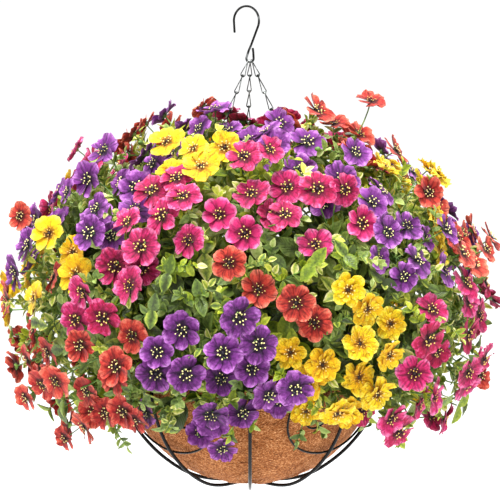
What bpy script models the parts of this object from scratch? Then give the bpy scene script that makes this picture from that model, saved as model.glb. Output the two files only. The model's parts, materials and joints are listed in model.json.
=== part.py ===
"""Hanging basket of daisies: a coir-lined wire bowl on three chains and a hook, filled with daisy sprays.

Metres, +Z up. The origin is the seat inside the hook, straight above the middle of the basket.
Azimuths are in degrees, from the front (-Y) towards the right (+X).
"""

import math
import random

import bmesh
import bpy
from mathutils import Matrix, Vector
from mathutils.bvhtree import BVHTree

MM = 0.001
GAP = 0.3 * MM

# Basket: a 12 inch (305 mm) wire bowl
RIM_Z = -397 * MM
RIM_RADIUS = 152 * MM
RIM_WIRE = 4.4 * MM
SEGMENTS = 24
STEP = 360 / SEGMENTS
HALF_STEP = STEP / 2
RIB_COUNT = 8
RIB_WIRE = 4.0 * MM
RIB_RADIUS = 156 * MM
RIB_DEPTH = 146.35 * MM
RIB_FLAT = 45 * MM
RIB_BELOW_RIM = 4 * GAP
HUB_RADIUS = 14 * MM
HUB_THICKNESS = 3 * MM
SCROLL_WIRE = 2.6 * MM
SCROLL_RADIUS = RIB_RADIUS - RIB_WIRE / 2 - SCROLL_WIRE / 2 - 1.2 * GAP
SCROLL_LOW = 94 * MM
SCROLL_CURL = 13.7 * MM
SCROLL_CURL_X = 36.5 * MM
SCROLL_CURL_Y = 45 * MM
SCROLL_ARCH = 24.4 * MM
SCROLL_ARCH_X = 47 * MM
SCROLL_ARCH_Y = 44 * MM
LINER_RADIUS = 150 * MM
LINER_WALL = 8 * MM
LINER_LIP = 6 * MM
LINER_FLAT_ANGLE = 16.3
FOAM_ANGLE = 82.5
FOAM_Z = RIM_Z - (LINER_RADIUS - LINER_WALL) * math.cos(math.radians(FOAM_ANGLE))

# Hook: one bent wire, open at the top and closed to an eye at the bottom
HOOK_WIRE = 2.6 * MM
CROOK_RADIUS = 14.1 * MM
CROOK_OFFSET = -4 * MM
CROOK_TIP_Z = -28 * MM
CROOK_TIP_TURN = 0.8 * MM
EYE_RADIUS = 4.1 * MM
EYE_TOP_Z = -43 * MM
EYE_CENTRE_Z = -56.9 * MM

# Chains: three runs of twisted links from the eye to the rim
CHAINS = (("left", -56.5, -1), ("back", 183.5, 0), ("right", 63.5, 1))
LINK_PITCH = 20 * MM
LINK_WIDTH = 6.0 * MM
LINK_WIRE = 1.2 * MM
LINK_CORNER = 0.7 * MM
TOP_LINK_WIDTH = 6.2 * MM
TOP_LINK_SPACING = 2.4 * MM
KNOT_REACH = 1.35 * MM
KNOT_LEAN = math.radians(35)

# Flower ball: its widest ring and how far it rises and hangs, measured from the rim
BALL_RADIUS = 275 * MM
BALL_MIDDLE = 65 * MM
BALL_RISE = 212 * MM
BALL_HANG_FRONT = 172 * MM
BALL_HANG_SIDE = 234 * MM
LOWEST_SINE = -0.67

# Blooms and pairs of leaves; a lobe's outline is its points' turn from its middle, reach and lift
BLOOM_COUNT = 340
BLOOM_RADIUS = 20.5 * MM
BLOOM_SPREAD = 0.08
BLOOM_CUP = (0.05, 0.26)
BLOOM_TILT = 0.4
BLOOM_DEPTH = (-26, 4)
LONG_SHARE = 0.15
LONG_REACH = (4, 16)
FRONT_LEAN = 0.4
SKY_LEAN = 0.05
PETALS = 5
PETAL = ((-36, 0.66, 0.5), (0, 1.0, 1.0))
LEAF_PAIRS = 44
LEAF_REACH = 16 * MM
LEAF_SPREAD = 0.15
LEAF_CUP = (0.1, 0.6)
LEAF_TILT = 0.4
LEAF_DEPTH = (4, 20)
LEAF = ((-90, 0.2, 0.1), (-24, 0.62, 0.6), (0, 1.0, 1.0), (24, 0.62, 0.6))
HEAD_DEPTH = 2.4 * MM
STUB = 4 * MM
BLOOM_SHIFT = 20
LEAF_SHIFT = 8
BLOOM_TRIES = 12
LEAF_TRIES = 2
PETAL_FACE, GREEN_FACE = 0, 1
STEM_SIDES = 3
STEM_RADIUS = 2.6 * MM
BRANCH_RADIUS = 1.15 * MM
STEM_BURIED = 36 * MM
STEM_RISE = 6 * MM
STEM_ROOM = 2.2 * GAP
STEM_INSIDE = 40 * MM
STEM_ROOTS = (14 * MM, 114 * MM)
STEM_ARCH = 0.7
STEM_OVER_RIM = 80 * MM
FIRST_BEND = 0.3
NODES = (0.55, 0.78, 1.0)
NODE_LENGTH = 4 * MM
CLEARANCE = 0.8 * MM
GOLDEN_ANGLE = math.pi * (3 - math.sqrt(5))
SEED = 7

# Planting plan: each spray's colour, azimuth and height above the rim in millimetres
SPRAYS = (
    ("purple", 15, 270),
    ("purple", -70, 262),
    ("yellow", -28, 245),
    ("red", 85, 258),
    ("purple", 42, 232),
    ("fuchsia", -85, 214),
    ("purple", -52, 212),
    ("fuchsia", -25, 184),
    ("fuchsia", 2, 204),
    ("fuchsia", 28, 190),
    ("yellow", 70, 205),
    ("purple", 48, 157),
    ("red", 80, 147),
    ("purple", -72, 165),
    ("yellow", -60, 118),
    ("fuchsia", -36, 107),
    ("red", 4, 132),
    ("yellow", 31, 97),
    ("purple", -11, 73),
    ("fuchsia", 51, 49),
    ("red", -62, 66),
    ("fuchsia", 78, 35),
    ("red", -36, 38),
    ("purple", -17, 15),
    ("purple", -2, -25),
    ("yellow", 22, 2),
    ("fuchsia", 46, -32),
    ("red", -58, -45),
    ("fuchsia", 150, 248),
    ("red", -140, 240),
    ("yellow", 178, 178),
    ("purple", 120, 178),
    ("fuchsia", -122, 165),
    ("red", 148, 88),
    ("purple", -165, 80),
    ("yellow", -108, 75),
    ("yellow", 130, -25),
    ("fuchsia", -150, -25),
    ("red", -98, -20),
    ("purple", 170, -20),
)

COLOURS = {
    "purple": ("#7A35A8", 0.6, 0.0),
    "fuchsia": ("#DB2C68", 0.6, 0.0),
    "red": ("#D63030", 0.6, 0.0),
    "yellow": ("#F3CF0E", 0.6, 0.0),
    "wire": ("#1B1F1D", 0.4, 0.0),
    "chain": ("#4A4D4C", 0.35, 1.0),
    "coir": ("#BE7038", 0.95, 0.0),
    "foam": ("#3F5A34", 0.9, 0.0),
    "stem": ("#3E6B2C", 0.5, 0.0),
}


def polar(azimuth, radius, z):
    """Point at an azimuth in degrees, a distance from the centre line and a height."""
    turn = math.radians(azimuth)
    return Vector((radius * math.sin(turn), -radius * math.cos(turn), z))


def linear(hex_colour):
    """Linear RGBA of an sRGB hex colour."""
    channels = [int(hex_colour[i : i + 2], 16) / 255 for i in (1, 3, 5)]
    return [c / 12.92 if c <= 0.04045 else ((c + 0.055) / 1.055) ** 2.4 for c in channels] + [1.0]


def material(name):
    """The Principled material of one of the basket's finishes."""
    made = bpy.data.materials.get(name)
    if made:
        return made
    colour, roughness, metallic = COLOURS[name]
    made = bpy.data.materials.new(name)
    made.use_nodes = True
    shader = made.node_tree.nodes["Principled BSDF"]
    shader.inputs["Base Color"].default_value = linear(colour)
    shader.inputs["Roughness"].default_value = roughness
    shader.inputs["Metallic"].default_value = metallic
    return made


def add_object(name, solid, finishes, smooth=True):
    """Turn a finished bmesh into a named object, whose faces' material indices count along the finishes."""
    bmesh.ops.triangulate(solid, faces=solid.faces[:])
    mesh = bpy.data.meshes.new(name)
    solid.to_mesh(mesh)
    solid.free()
    if smooth:
        mesh.shade_smooth()
        mesh.set_sharp_from_angle(angle=math.radians(40))
    for finish in finishes:
        mesh.materials.append(material(finish))
    placed = bpy.data.objects.new(name, mesh)
    bpy.context.scene.collection.objects.link(placed)
    return placed


def boolean(base, solids, operation):
    """Join solids to an object, or cut them out of it, with one Boolean on a collection."""
    group = bpy.data.collections.new(base.name + "_parts")
    for number, solid in enumerate(solids):
        mesh = bpy.data.meshes.new(f"{base.name}_part_{number}")
        bmesh.ops.triangulate(solid, faces=solid.faces[:])
        solid.to_mesh(mesh)
        solid.free()
        group.objects.link(bpy.data.objects.new(mesh.name, mesh))
    modifier = base.modifiers.new("join", "BOOLEAN")
    modifier.operation = operation
    modifier.operand_type = "COLLECTION"
    modifier.collection = group
    graph = bpy.context.evaluated_depsgraph_get()
    joined = bpy.data.meshes.new_from_object(base.evaluated_get(graph))
    base.modifiers.remove(modifier)
    base.data = joined
    for part in list(group.objects):
        bpy.data.objects.remove(part)
    bpy.data.collections.remove(group)


def sweep(path, radius, sides, up, closed=False):
    """Tube with flat caps along a path, one corner towards up, without twist; a closed path has no caps."""
    solid = bmesh.new()
    count = len(path)
    rings = []
    normal = up
    for i, point in enumerate(path):
        before = path[i - 1] if i or closed else path[0]
        after = path[(i + 1) % count] if i + 1 < count or closed else path[-1]
        tangent = (after - before).normalized()
        normal = (normal - tangent * normal.dot(tangent)).normalized()
        side = tangent.cross(normal)
        corners = []
        for k in range(sides):
            turn = 2 * math.pi * k / sides
            spoke = math.cos(turn) * normal + math.sin(turn) * side
            corners.append(solid.verts.new(point + radius * spoke))
        rings.append(corners)
    for i in range(count if closed else count - 1):
        near, far = rings[i], rings[(i + 1) % count]
        for k in range(sides):
            solid.faces.new((near[k], near[(k + 1) % sides], far[(k + 1) % sides], far[k]))
    if not closed:
        solid.faces.new(rings[0][::-1])
        solid.faces.new(rings[-1])
    bmesh.ops.recalc_face_normals(solid, faces=solid.faces[:])
    return solid


def turned(profile, closed):
    """Turn a profile of (radius, z) points round the centre line in the basket's number of steps."""
    solid = bmesh.new()
    rings = []
    for radius, z in profile:
        if radius < 1e-6:
            rings.append([solid.verts.new((0, 0, z))] * SEGMENTS)
        else:
            rings.append([solid.verts.new(polar(360 * k / SEGMENTS, radius, z)) for k in range(SEGMENTS)])
    for i in range(len(rings) if closed else len(rings) - 1):
        near, far = rings[i], rings[(i + 1) % len(rings)]
        for k in range(SEGMENTS):
            corners = (near[k], near[(k + 1) % SEGMENTS], far[(k + 1) % SEGMENTS], far[k])
            solid.faces.new(tuple(dict.fromkeys(corners)))
    bmesh.ops.recalc_face_normals(solid, faces=solid.faces[:])
    return solid


def arc(centre, radius, start, end, steps):
    """Points (x, z) on an arc, angles in degrees anticlockwise from +x."""
    turns = [math.radians(start + (end - start) * k / steps) for k in range(steps + 1)]
    return [(centre[0] + radius * math.cos(t), centre[1] + radius * math.sin(t)) for t in turns]


def hook_path():
    """Centre line of the hook's wire, from the open tip over the crook and down round the eye."""
    inner = CROOK_RADIUS - HOOK_WIRE / 2
    middle_z = -math.sqrt(inner**2 - CROOK_OFFSET**2)
    centre = (CROOK_OFFSET, middle_z)
    tip = (CROOK_OFFSET - CROOK_RADIUS + CROOK_TIP_TURN, CROOK_TIP_Z)
    eye_centre = (0.0, EYE_CENTRE_Z)
    points = [tip] + arc(centre, CROOK_RADIUS, 188, -22, 12)
    points.append((1.6 * MM, EYE_TOP_Z + 1 * MM))
    points.append((3.0 * MM, EYE_TOP_Z - 4 * MM))
    points += arc(eye_centre, EYE_RADIUS, 10, -190, 8)
    points.append((-3.1 * MM, EYE_TOP_Z - 6 * MM))
    points.append((-2.0 * MM, EYE_TOP_Z - 2.6 * MM))
    return [Vector((x, 0, z)) for x, z in points]


def build_hook():
    """The black wire hook."""
    return add_object("hook", sweep(hook_path(), HOOK_WIRE / 2, 6, up=Vector((0, 1, 0))), ["wire"])


def wire_loop(centre, along, across, length, width, wire):
    """Closed link of round wire: two straight sides and two half-round ends, as an eight-point loop."""
    bend = width / 2
    straight = length / 2 - bend * math.sin(math.radians(60))
    points = []
    for end in (1, -1):
        for turn in (0, 60, 120, 180):
            angle = math.radians(turn)
            reach = straight + bend * math.sin(angle)
            points.append(centre + end * (along * reach + across * bend * math.cos(angle)))
    return sweep(points, wire / 2, 4, along.cross(across), closed=True)


def chain_ladder(start, end, first):
    """Run of twisted wire links, each pinched to a knot that it shares with the next one.

    The first link's two wires lie apart along the vector first, and each link is turned by 90 degrees.
    """
    run = end - start
    along = run.normalized()
    first = (first - along * first.dot(along)).normalized()
    wide = (first, along.cross(first))
    count = round(run.length / LINK_PITCH)
    solid = bmesh.new()
    wires_above = []
    for knot in range(count + 1):
        here = start + run * knot / count
        corners = []
        for direction, axis in ((-1, wide[(knot + 1) % 2]), (1, wide[knot % 2])):
            for side in (-1, 1):
                middle = here + along * direction * KNOT_REACH + axis * side * (LINK_WIDTH - LINK_WIRE) / 2
                outward = axis * math.cos(KNOT_LEAN) - along * direction * side * math.sin(KNOT_LEAN)
                level = along.cross(axis)
                corner = []
                for k in range(3):
                    turn = math.radians(120 * k)
                    spoke = math.cos(turn) * outward + math.sin(turn) * level
                    corner.append(solid.verts.new(middle + LINK_CORNER * spoke))
                corners.append(corner)
        bmesh.ops.convex_hull(solid, input=[vert for corner in corners for vert in corner])
        uppers, lowers = corners[:2], corners[2:]
        opened = (uppers if knot > 0 else []) + (lowers if knot < count else [])
        for corner in opened:
            solid.faces.remove(next(f for f in corner[0].link_faces if set(f.verts) == set(corner)))
        for upper, lower in zip(wires_above, uppers):
            for k in range(3):
                solid.faces.new((upper[k], upper[(k + 1) % 3], lower[(k + 1) % 3], lower[k]))
        wires_above = lowers
    bmesh.ops.recalc_face_normals(solid, faces=solid.faces[:])
    return solid


def build_chain(name, azimuth, order):
    """One chain: its top link through the hook's eye, its run of links and the hook that grips the rim."""
    facet_middle = round((azimuth - HALF_STEP) / STEP) * STEP + HALF_STEP
    flat = math.cos(math.radians(HALF_STEP)) / math.cos(math.radians(azimuth - facet_middle))
    grip = RIM_WIRE / 2 + GAP + LINK_WIRE / 2
    outside = RIM_RADIUS * flat + grip
    seat = polar(azimuth, outside, RIM_Z + RIM_WIRE / 2 + GAP + KNOT_REACH + LINK_WIRE * 0.6)
    across = order * TOP_LINK_SPACING
    eye_wire = Vector((across, 0, EYE_CENTRE_Z - math.sqrt(EYE_RADIUS**2 - across**2)))
    along = (seat - eye_wire).normalized()
    hung = eye_wire - along * (HOOK_WIRE / 2 + LINK_WIRE / 2 + 1.5 * GAP)
    sideways = (Vector((0, 1, 0)) - along * along.y).normalized()
    middle = hung + along * LINK_PITCH / 2
    top_link = wire_loop(middle, along, sideways, LINK_PITCH, TOP_LINK_WIDTH, LINK_WIRE)
    run = chain_ladder(hung + along * LINK_PITCH, seat, along.cross(sideways))
    rim_hook = [
        seat,
        polar(azimuth, outside, RIM_Z - grip),
        polar(azimuth, RIM_RADIUS * flat, RIM_Z - grip - 0.2 * MM),
    ]
    chain = add_object(f"chain_{name}", top_link, ["chain"], smooth=False)
    boolean(chain, [run, sweep(rim_hook, LINK_WIRE / 2, 4, polar(azimuth + 90, 1, 0))], "UNION")
    return chain


def build_rim():
    """The square-sectioned ring that the bowl hangs from."""
    half = RIM_WIRE / 2
    profile = [(RIM_RADIUS + x * half, RIM_Z + z * half) for x, z in ((-1, -1), (1, -1), (1, 1), (-1, 1))]
    return add_object("rim_ring", turned(profile, closed=True), ["wire"], smooth=False)


def rib_path(azimuth):
    """Centre line of a rib, from under the rim round the bowl and in to the hub."""
    crossing = math.acos(SCROLL_LOW / SCROLL_RADIUS)
    turns = [math.radians(80), math.radians(70), math.radians(61), crossing]
    turns += [math.radians(42), math.radians(32), math.radians(22)]
    points = [(RIM_RADIUS, -(RIM_WIRE / 2 + RIB_BELOW_RIM))]
    points += [(RIB_RADIUS * math.sin(t), -RIB_RADIUS * math.cos(t)) for t in turns]
    points += [(RIB_FLAT, -RIB_DEPTH), (HUB_RADIUS + GAP * 1.2, -RIB_DEPTH)]
    return [polar(azimuth, radius, RIM_Z + height) for radius, height in points]


def build_ribs():
    """The ribs that carry the liner."""
    ribs = []
    for number in range(RIB_COUNT):
        azimuth = number * 360 / RIB_COUNT
        path = rib_path(azimuth)
        solid = sweep(path, RIB_WIRE / 2, 4, up=polar(azimuth, 1, 0))
        ribs.append(add_object(f"rib_{number + 1}", solid, ["wire"], smooth=False))
    return ribs


def scroll_path(azimuth):
    """Centre line of a scroll: a curl, an arch, a long dip under the rib and the same again mirrored."""
    curl = arc((-SCROLL_CURL_X, -SCROLL_CURL_Y), SCROLL_CURL, 180, 360, 4)
    arch = arc((-SCROLL_ARCH_X, -SCROLL_ARCH_Y), SCROLL_ARCH, 0, 180, 5)
    reach = SCROLL_ARCH_X + SCROLL_ARCH
    steps = 10
    dip = []
    for k in range(1, steps):
        turn = math.pi * k / steps
        dip.append((-reach * math.cos(turn), -SCROLL_ARCH_Y - (SCROLL_LOW - SCROLL_ARCH_Y) * math.sin(turn)))
    half = curl + arch
    flat = half + dip + [(-x, y) for x, y in reversed(half)]
    points = []
    for sideways, height in flat:
        radius = math.sqrt(SCROLL_RADIUS**2 - height**2)
        points.append(polar(azimuth + math.degrees(sideways / radius), radius, RIM_Z + height))
    return points


def build_scrolls():
    """The scrolled wires, one on every second rib."""
    middle = Vector((0, 0, RIM_Z))
    scrolls = []
    for number in range(RIB_COUNT // 2):
        azimuth = (number + 0.5) * 720 / RIB_COUNT
        path = scroll_path(azimuth)
        solid = sweep(path, SCROLL_WIRE / 2, 4, up=path[0] - middle)
        scrolls.append(add_object(f"scroll_{number + 1}", solid, ["wire"], smooth=False))
    return scrolls


def build_hub():
    """The flat disc that the ribs meet at, under the bowl."""
    half = HUB_THICKNESS / 2
    middle = RIM_Z - RIB_DEPTH
    profile = [(0, middle - half), (HUB_RADIUS, middle - half)]
    profile += [(HUB_RADIUS, middle + half), (0, middle + half)]
    return add_object("hub_disc", turned(profile, closed=False), ["wire"], smooth=False)


def bowl_arc(radius, lowest, highest, steps):
    """Profile points on a ball round the middle of the rim, between two angles from straight down."""
    turns = [math.radians(lowest + (highest - lowest) * k / steps) for k in range(steps + 1)]
    return [(radius * math.sin(t), RIM_Z - radius * math.cos(t)) for t in turns]


def build_liner():
    """The coir liner: a flat-bottomed bowl whose lip stands inside the rim."""
    outer = bowl_arc(LINER_RADIUS, LINER_FLAT_ANGLE, 87, 5)
    inner = bowl_arc(LINER_RADIUS - LINER_WALL, LINER_FLAT_ANGLE, FOAM_ANGLE, 4)
    lip = RIM_RADIUS - RIM_WIRE / 2 - 0.5 * MM
    profile = [(0, outer[0][1])] + outer + [(lip, RIM_Z - 3 * MM), (lip, RIM_Z + LINER_LIP)]
    profile += [(lip - LINER_WALL, RIM_Z + LINER_LIP), (lip - LINER_WALL, RIM_Z - 6 * MM)]
    profile += inner[::-1] + [(0, inner[0][1])]
    return add_object("coir_liner", turned(profile, closed=False), ["coir"])


def build_foam(stems):
    """The foam that fills the liner, with a plain hole for each stem."""
    side = bowl_arc(LINER_RADIUS - LINER_WALL - GAP, LINER_FLAT_ANGLE, FOAM_ANGLE, 4)
    profile = [(0, side[0][1])] + side + [(0, side[-1][1])]
    foam = add_object("foam_fill", turned(profile, closed=False), ["foam"], smooth=False)
    holes = []
    for path in stems:
        low = path[0] - Vector((0, 0, GAP))
        high = path[1] + Vector((0, 0, 4 * MM))
        holes.append(sweep([low, high], STEM_RADIUS + STEM_ROOM, STEM_SIDES, up=Vector((1, 0, 0))))
    boolean(foam, holes, "DIFFERENCE")
    return foam


def ball_point(azimuth, sine):
    """Point on the flower ball and its outward direction; sine is 1 at the crown and 0 at the widest ring."""
    side = math.sin(math.radians(azimuth)) ** 2
    depth = BALL_RISE if sine > 0 else BALL_HANG_FRONT + (BALL_HANG_SIDE - BALL_HANG_FRONT) * side
    cosine = math.sqrt(1 - sine**2)
    point = polar(azimuth, BALL_RADIUS * cosine, RIM_Z + BALL_MIDDLE + depth * sine)
    outward = polar(azimuth, cosine / BALL_RADIUS, sine / depth).normalized()
    return point, outward


class Placed:
    """The solids placed so far, so that each new one is kept clear of them."""

    def __init__(self):
        self.entries = []

    def add(self, owner, solid):
        """Remember a solid under its owner's name."""
        entry = [owner, BVHTree.FromBMesh(solid), *bounds(solid)]
        self.entries.append(entry)
        return entry

    def is_free(self, solid, entries=None):
        """Whether a solid crosses none of the entries, which are all that is placed unless some are given."""
        tree = BVHTree.FromBMesh(solid)
        low, high = bounds(solid)
        for _, other_tree, other_low, other_high in self.entries if entries is None else entries:
            apart = any(low[k] > other_high[k] or high[k] < other_low[k] for k in range(3))
            if not apart and tree.overlap(other_tree):
                return False
        return True

    def others(self, owner, apart_from):
        """What belongs to any other owner, apart from one entry."""
        return [entry for entry in self.entries if entry[0] != owner and entry is not apart_from]

    def own(self, owner, apart_from):
        """What belongs to an owner, apart from one of its entries."""
        return [entry for entry in self.entries if entry[0] == owner and entry is not apart_from]


def bounds(solid):
    """Lowest and highest corners of a bmesh."""
    spots = [vert.co for vert in solid.verts]
    low = [min(spot[k] for spot in spots) for k in range(3)]
    high = [max(spot[k] for spot in spots) for k in range(3)]
    return low, high


class Head:
    """What a branch ends in: a thin lobed body, which is a bloom's ring of petals or a pair of leaves."""

    def __init__(self, seat, outward, facing, spin, radius, cup, lobe, lobes):
        self.seat = seat
        self.outward = outward
        self.facing = facing
        self.across = Matrix.Rotation(spin, 3, facing) @ facing.orthogonal().normalized()
        self.radius = radius
        self.cup = cup
        self.lobe = lobe
        self.lobes = lobes
        self.entry = None

    def spoke(self, angle):
        """Direction at an angle in degrees in the head's own plane."""
        turn = math.radians(angle)
        return math.cos(turn) * self.across + math.sin(turn) * self.facing.cross(self.across)

    def base(self, margin=0.0):
        """Where the branch meets the underside."""
        return self.seat - self.facing * (HEAD_DEPTH + margin)

    def add_to(self, solid, root_verts, margin=0.0, face_kind=0):
        """Add the head and its three-sided branch, which starts at three vertices in a bmesh."""
        radius = self.radius + margin
        angles = []
        rim = []
        for number in range(self.lobes):
            for turn, reach, lift in self.lobe:
                angles.append(360 * number / self.lobes + turn)
                spot = self.seat + radius * (reach * self.spoke(angles[-1]) + lift * self.cup * self.facing)
                rim.append(solid.verts.new(spot))
        count = len(rim)
        top = solid.verts.new(self.seat + self.facing * margin)
        base = self.base(margin)
        root = sum((vert.co for vert in root_verts), Vector()) / 3
        along = (base - root).normalized()
        shares = [0] + [math.ceil(count * k / 3) for k in (1, 2)] + [count]
        angles.append(angles[0] + 360)
        neck = []
        for k in range(3):
            middle = (angles[shares[k]] + angles[shares[k + 1]]) / 2
            level = self.spoke(middle)
            level = (level - 0.6 * along * level.dot(along)).normalized()
            neck.append(solid.verts.new(base + (BRANCH_RADIUS + margin) * level))
        faces = []
        for k in range(3):
            for step in range(shares[k], shares[k + 1]):
                after = rim[(step + 1) % count]
                faces.append(solid.faces.new((top, rim[step], after)))
                faces.append(solid.faces.new((neck[k], after, rim[step])))
            faces.append(solid.faces.new((neck[k], neck[(k + 1) % 3], rim[shares[k + 1] % count])))
        turned_roots = [root_verts[k:] + root_verts[:k] for k in range(3)]
        best = min(turned_roots, key=lambda verts: sum((a.co - b.co).length for a, b in zip(verts, neck)))
        for face in faces:
            face.material_index = face_kind
        for k in range(3):
            after = (k + 1) % 3
            wall = solid.faces.new((best[k], best[after], neck[after], neck[k]))
            wall.material_index = GREEN_FACE

    def alone(self, root=None, margin=0.0):
        """The head on a branch of its own, as a closed bmesh for testing."""
        if root is None:
            root = self.base() - self.facing * STUB
        solid = bmesh.new()
        along = (self.base() - root).normalized()
        verts = []
        for k in range(3):
            level = self.spoke(120 * k)
            level = (level - along * level.dot(along)).normalized()
            verts.append(solid.verts.new(root + (BRANCH_RADIUS + margin) * level))
        self.add_to(solid, verts, margin)
        solid.faces.new(verts[::-1])
        return solid

    def place(self, placed, reach):
        """Shift the head by the least that clears what is placed already, up to a reach in millimetres."""
        home = self.seat.copy()
        level = self.outward.orthogonal().normalized()
        other = self.outward.cross(level)
        sides = [k * reach / 4 for k in range(-4, 5, 2)]
        steps = [Vector((a, b, c)) for a in (0, -9, 9, -18) for b in sides for c in sides]
        for step in sorted(steps, key=lambda s: s.length):
            self.seat = home + (self.outward * step.x + level * step.y + other * step.z) * MM
            test = self.alone(margin=CLEARANCE)
            if placed.is_free(test):
                return True
        self.seat = home
        return False


def bloom(number, draw):
    """A daisy's petals at their place in the spread over the ball."""
    share = (number + 0.5) / BLOOM_COUNT
    sine = 1 - (1 - LOWEST_SINE) * share + draw.uniform(-0.02, 0.02)
    azimuth = math.degrees(number * GOLDEN_ANGLE) % 360 + draw.uniform(-3, 3)
    seat, outward = ball_point(azimuth, max(LOWEST_SINE - 0.08, min(0.99, sine)))
    front = max(0.0, -outward.y)
    tilt = Vector([draw.uniform(-BLOOM_TILT, BLOOM_TILT) for _ in range(3)])
    facing = (outward + tilt + Vector((0, -FRONT_LEAN * front, SKY_LEAN))).normalized()
    stands_out = draw.random() < LONG_SHARE
    seat += outward * draw.uniform(*(LONG_REACH if stands_out else BLOOM_DEPTH)) * MM
    radius = BLOOM_RADIUS * draw.uniform(1 - BLOOM_SPREAD, 1 + BLOOM_SPREAD)
    spin = draw.uniform(0, math.pi / 3)
    return Head(seat, outward, facing, spin, radius, draw.uniform(*BLOOM_CUP), PETAL, PETALS)


def leaf_pair(number, draw):
    """A pair of leaves between the blooms, a little further in."""
    share = (number + 0.5) / LEAF_PAIRS
    sine = 1 - (1 - LOWEST_SINE) * share
    azimuth = math.degrees(number * GOLDEN_ANGLE) % 360 + 180
    seat, outward = ball_point(azimuth, sine)
    tilt = Vector([draw.uniform(-LEAF_TILT, LEAF_TILT) for _ in range(3)])
    facing = (outward + tilt).normalized()
    seat -= outward * draw.uniform(*LEAF_DEPTH) * MM
    radius = LEAF_REACH * draw.uniform(1 - LEAF_SPREAD, 1 + LEAF_SPREAD)
    return Head(seat, outward, facing, draw.uniform(0, math.pi), radius, draw.uniform(*LEAF_CUP), LEAF, 2)


class Spray:
    """One flowering stem of a single colour: its main stem, its blooms and its pairs of leaves."""

    def __init__(self, number, colour, azimuth, height):
        self.name = f"spray_{number:02d}_{colour}"
        self.colour = colour
        self.azimuth = azimuth
        rise = height * MM - BALL_MIDDLE
        side = math.sin(math.radians(azimuth)) ** 2
        depth = BALL_RISE if rise > 0 else BALL_HANG_FRONT + (BALL_HANG_SIDE - BALL_HANG_FRONT) * side
        self.sine = rise / depth
        self.middle, self.outward = ball_point(azimuth, self.sine)
        self.path = []
        self.solid = None
        self.hosts = []

    def route(self, turn, lift):
        """Main stem's points: up out of the foam, over the rim and out, with a short band at each node."""
        share = (1 - self.sine) / (1 - LOWEST_SINE)
        azimuth = self.azimuth + turn
        near, far = STEM_ROOTS
        inner = near + (far - near) * share**0.8
        root = polar(azimuth, inner, FOAM_Z)
        end = self.middle - self.outward * STEM_INSIDE
        reach = Vector((end.x, end.y, 0)).length
        height = STEM_ARCH * max(0.0, end.z - RIM_Z) + STEM_OVER_RIM * share**2 + lift * MM
        bend = polar(azimuth, inner + 0.45 * (reach - inner), RIM_Z + height)
        start = root + Vector((0, 0, STEM_RISE))
        points = [root - Vector((0, 0, STEM_BURIED)), start]
        for t in (FIRST_BEND,) + NODES:
            point = start * (1 - t) ** 2 + bend * 2 * t * (1 - t) + end * t**2
            if t in NODES:
                heading = ((bend - start) * (1 - t) + (end - bend) * t).normalized()
                points.append(point - heading * NODE_LENGTH)
            points.append(point)
        return points

    def grow_stem(self, placed):
        """Find a clear route for the main stem and place it."""
        for turn in (0, 4, -4, 8, -8, 12, -12, 17, -17, 22, -22):
            for lift in (0, 15, -15, 30):
                path = self.route(turn, lift)
                wide = sweep(path, STEM_RADIUS + CLEARANCE, STEM_SIDES, up=Vector((1, 0, 0)))
                if placed.is_free(wide):
                    self.path = path
                    self.solid = sweep(path, STEM_RADIUS, STEM_SIDES, up=Vector((1, 0, 0)))
                    placed.add(self.name, self.solid)
                    bmesh.ops.triangulate(self.solid, faces=self.solid.faces[:])
                    for face in self.solid.faces:
                        face.material_index = GREEN_FACE
                        longest = max(edge.calc_length() for edge in face.edges)
                        if longest < 2 * NODE_LENGTH and face.calc_center_median().z > FOAM_Z:
                            self.hosts.append(face)
                    return True
        return False

    def seats(self, head):
        """The stem's free node faces that a head's branch can leave from, nearest first."""
        found = []
        for face in self.hosts:
            branch = head.base() - face.calc_center_median()
            slant = branch.normalized().dot(face.normal)
            rise = branch.normalized().dot(head.facing)
            if slant > 0.25 and rise > 0.1:
                found.append((branch.length * (1.3 - 0.3 * slant), face))
        return [face for _, face in sorted(found, key=lambda pair: pair[0])]

    def grow(self, placed, head, face_kind):
        """Join a head to the main stem by a straight branch that is clear of all else."""
        others = placed.others(self.name, head.entry)
        own = placed.own(self.name, head.entry)
        for face in self.seats(head):
            root = face.calc_center_median()
            start = root + (head.base() - root).normalized() * 1.5 * NODE_LENGTH
            if not placed.is_free(head.alone(root, CLEARANCE), others):
                continue
            if not placed.is_free(head.alone(start, CLEARANCE / 4), own):
                continue
            if head.entry:
                placed.entries.remove(head.entry)
            head.entry = placed.add(self.name, head.alone(start))
            verts = list(face.verts)
            self.hosts.remove(face)
            self.solid.faces.remove(face)
            head.add_to(self.solid, verts, face_kind=face_kind)
            return True
        return False

    def build(self):
        """Make the spray's object."""
        return add_object(self.name, self.solid, (self.colour, "stem"), smooth=False)


def join(sprays, placed, head, face_kind, tries):
    """Join a head to the first of the nearest sprays that a clear branch can reach it from."""
    near = sorted(sprays, key=lambda spray: (spray.middle - head.seat).length)
    return any(spray.grow(placed, head, face_kind) for spray in near[:tries])


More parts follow.
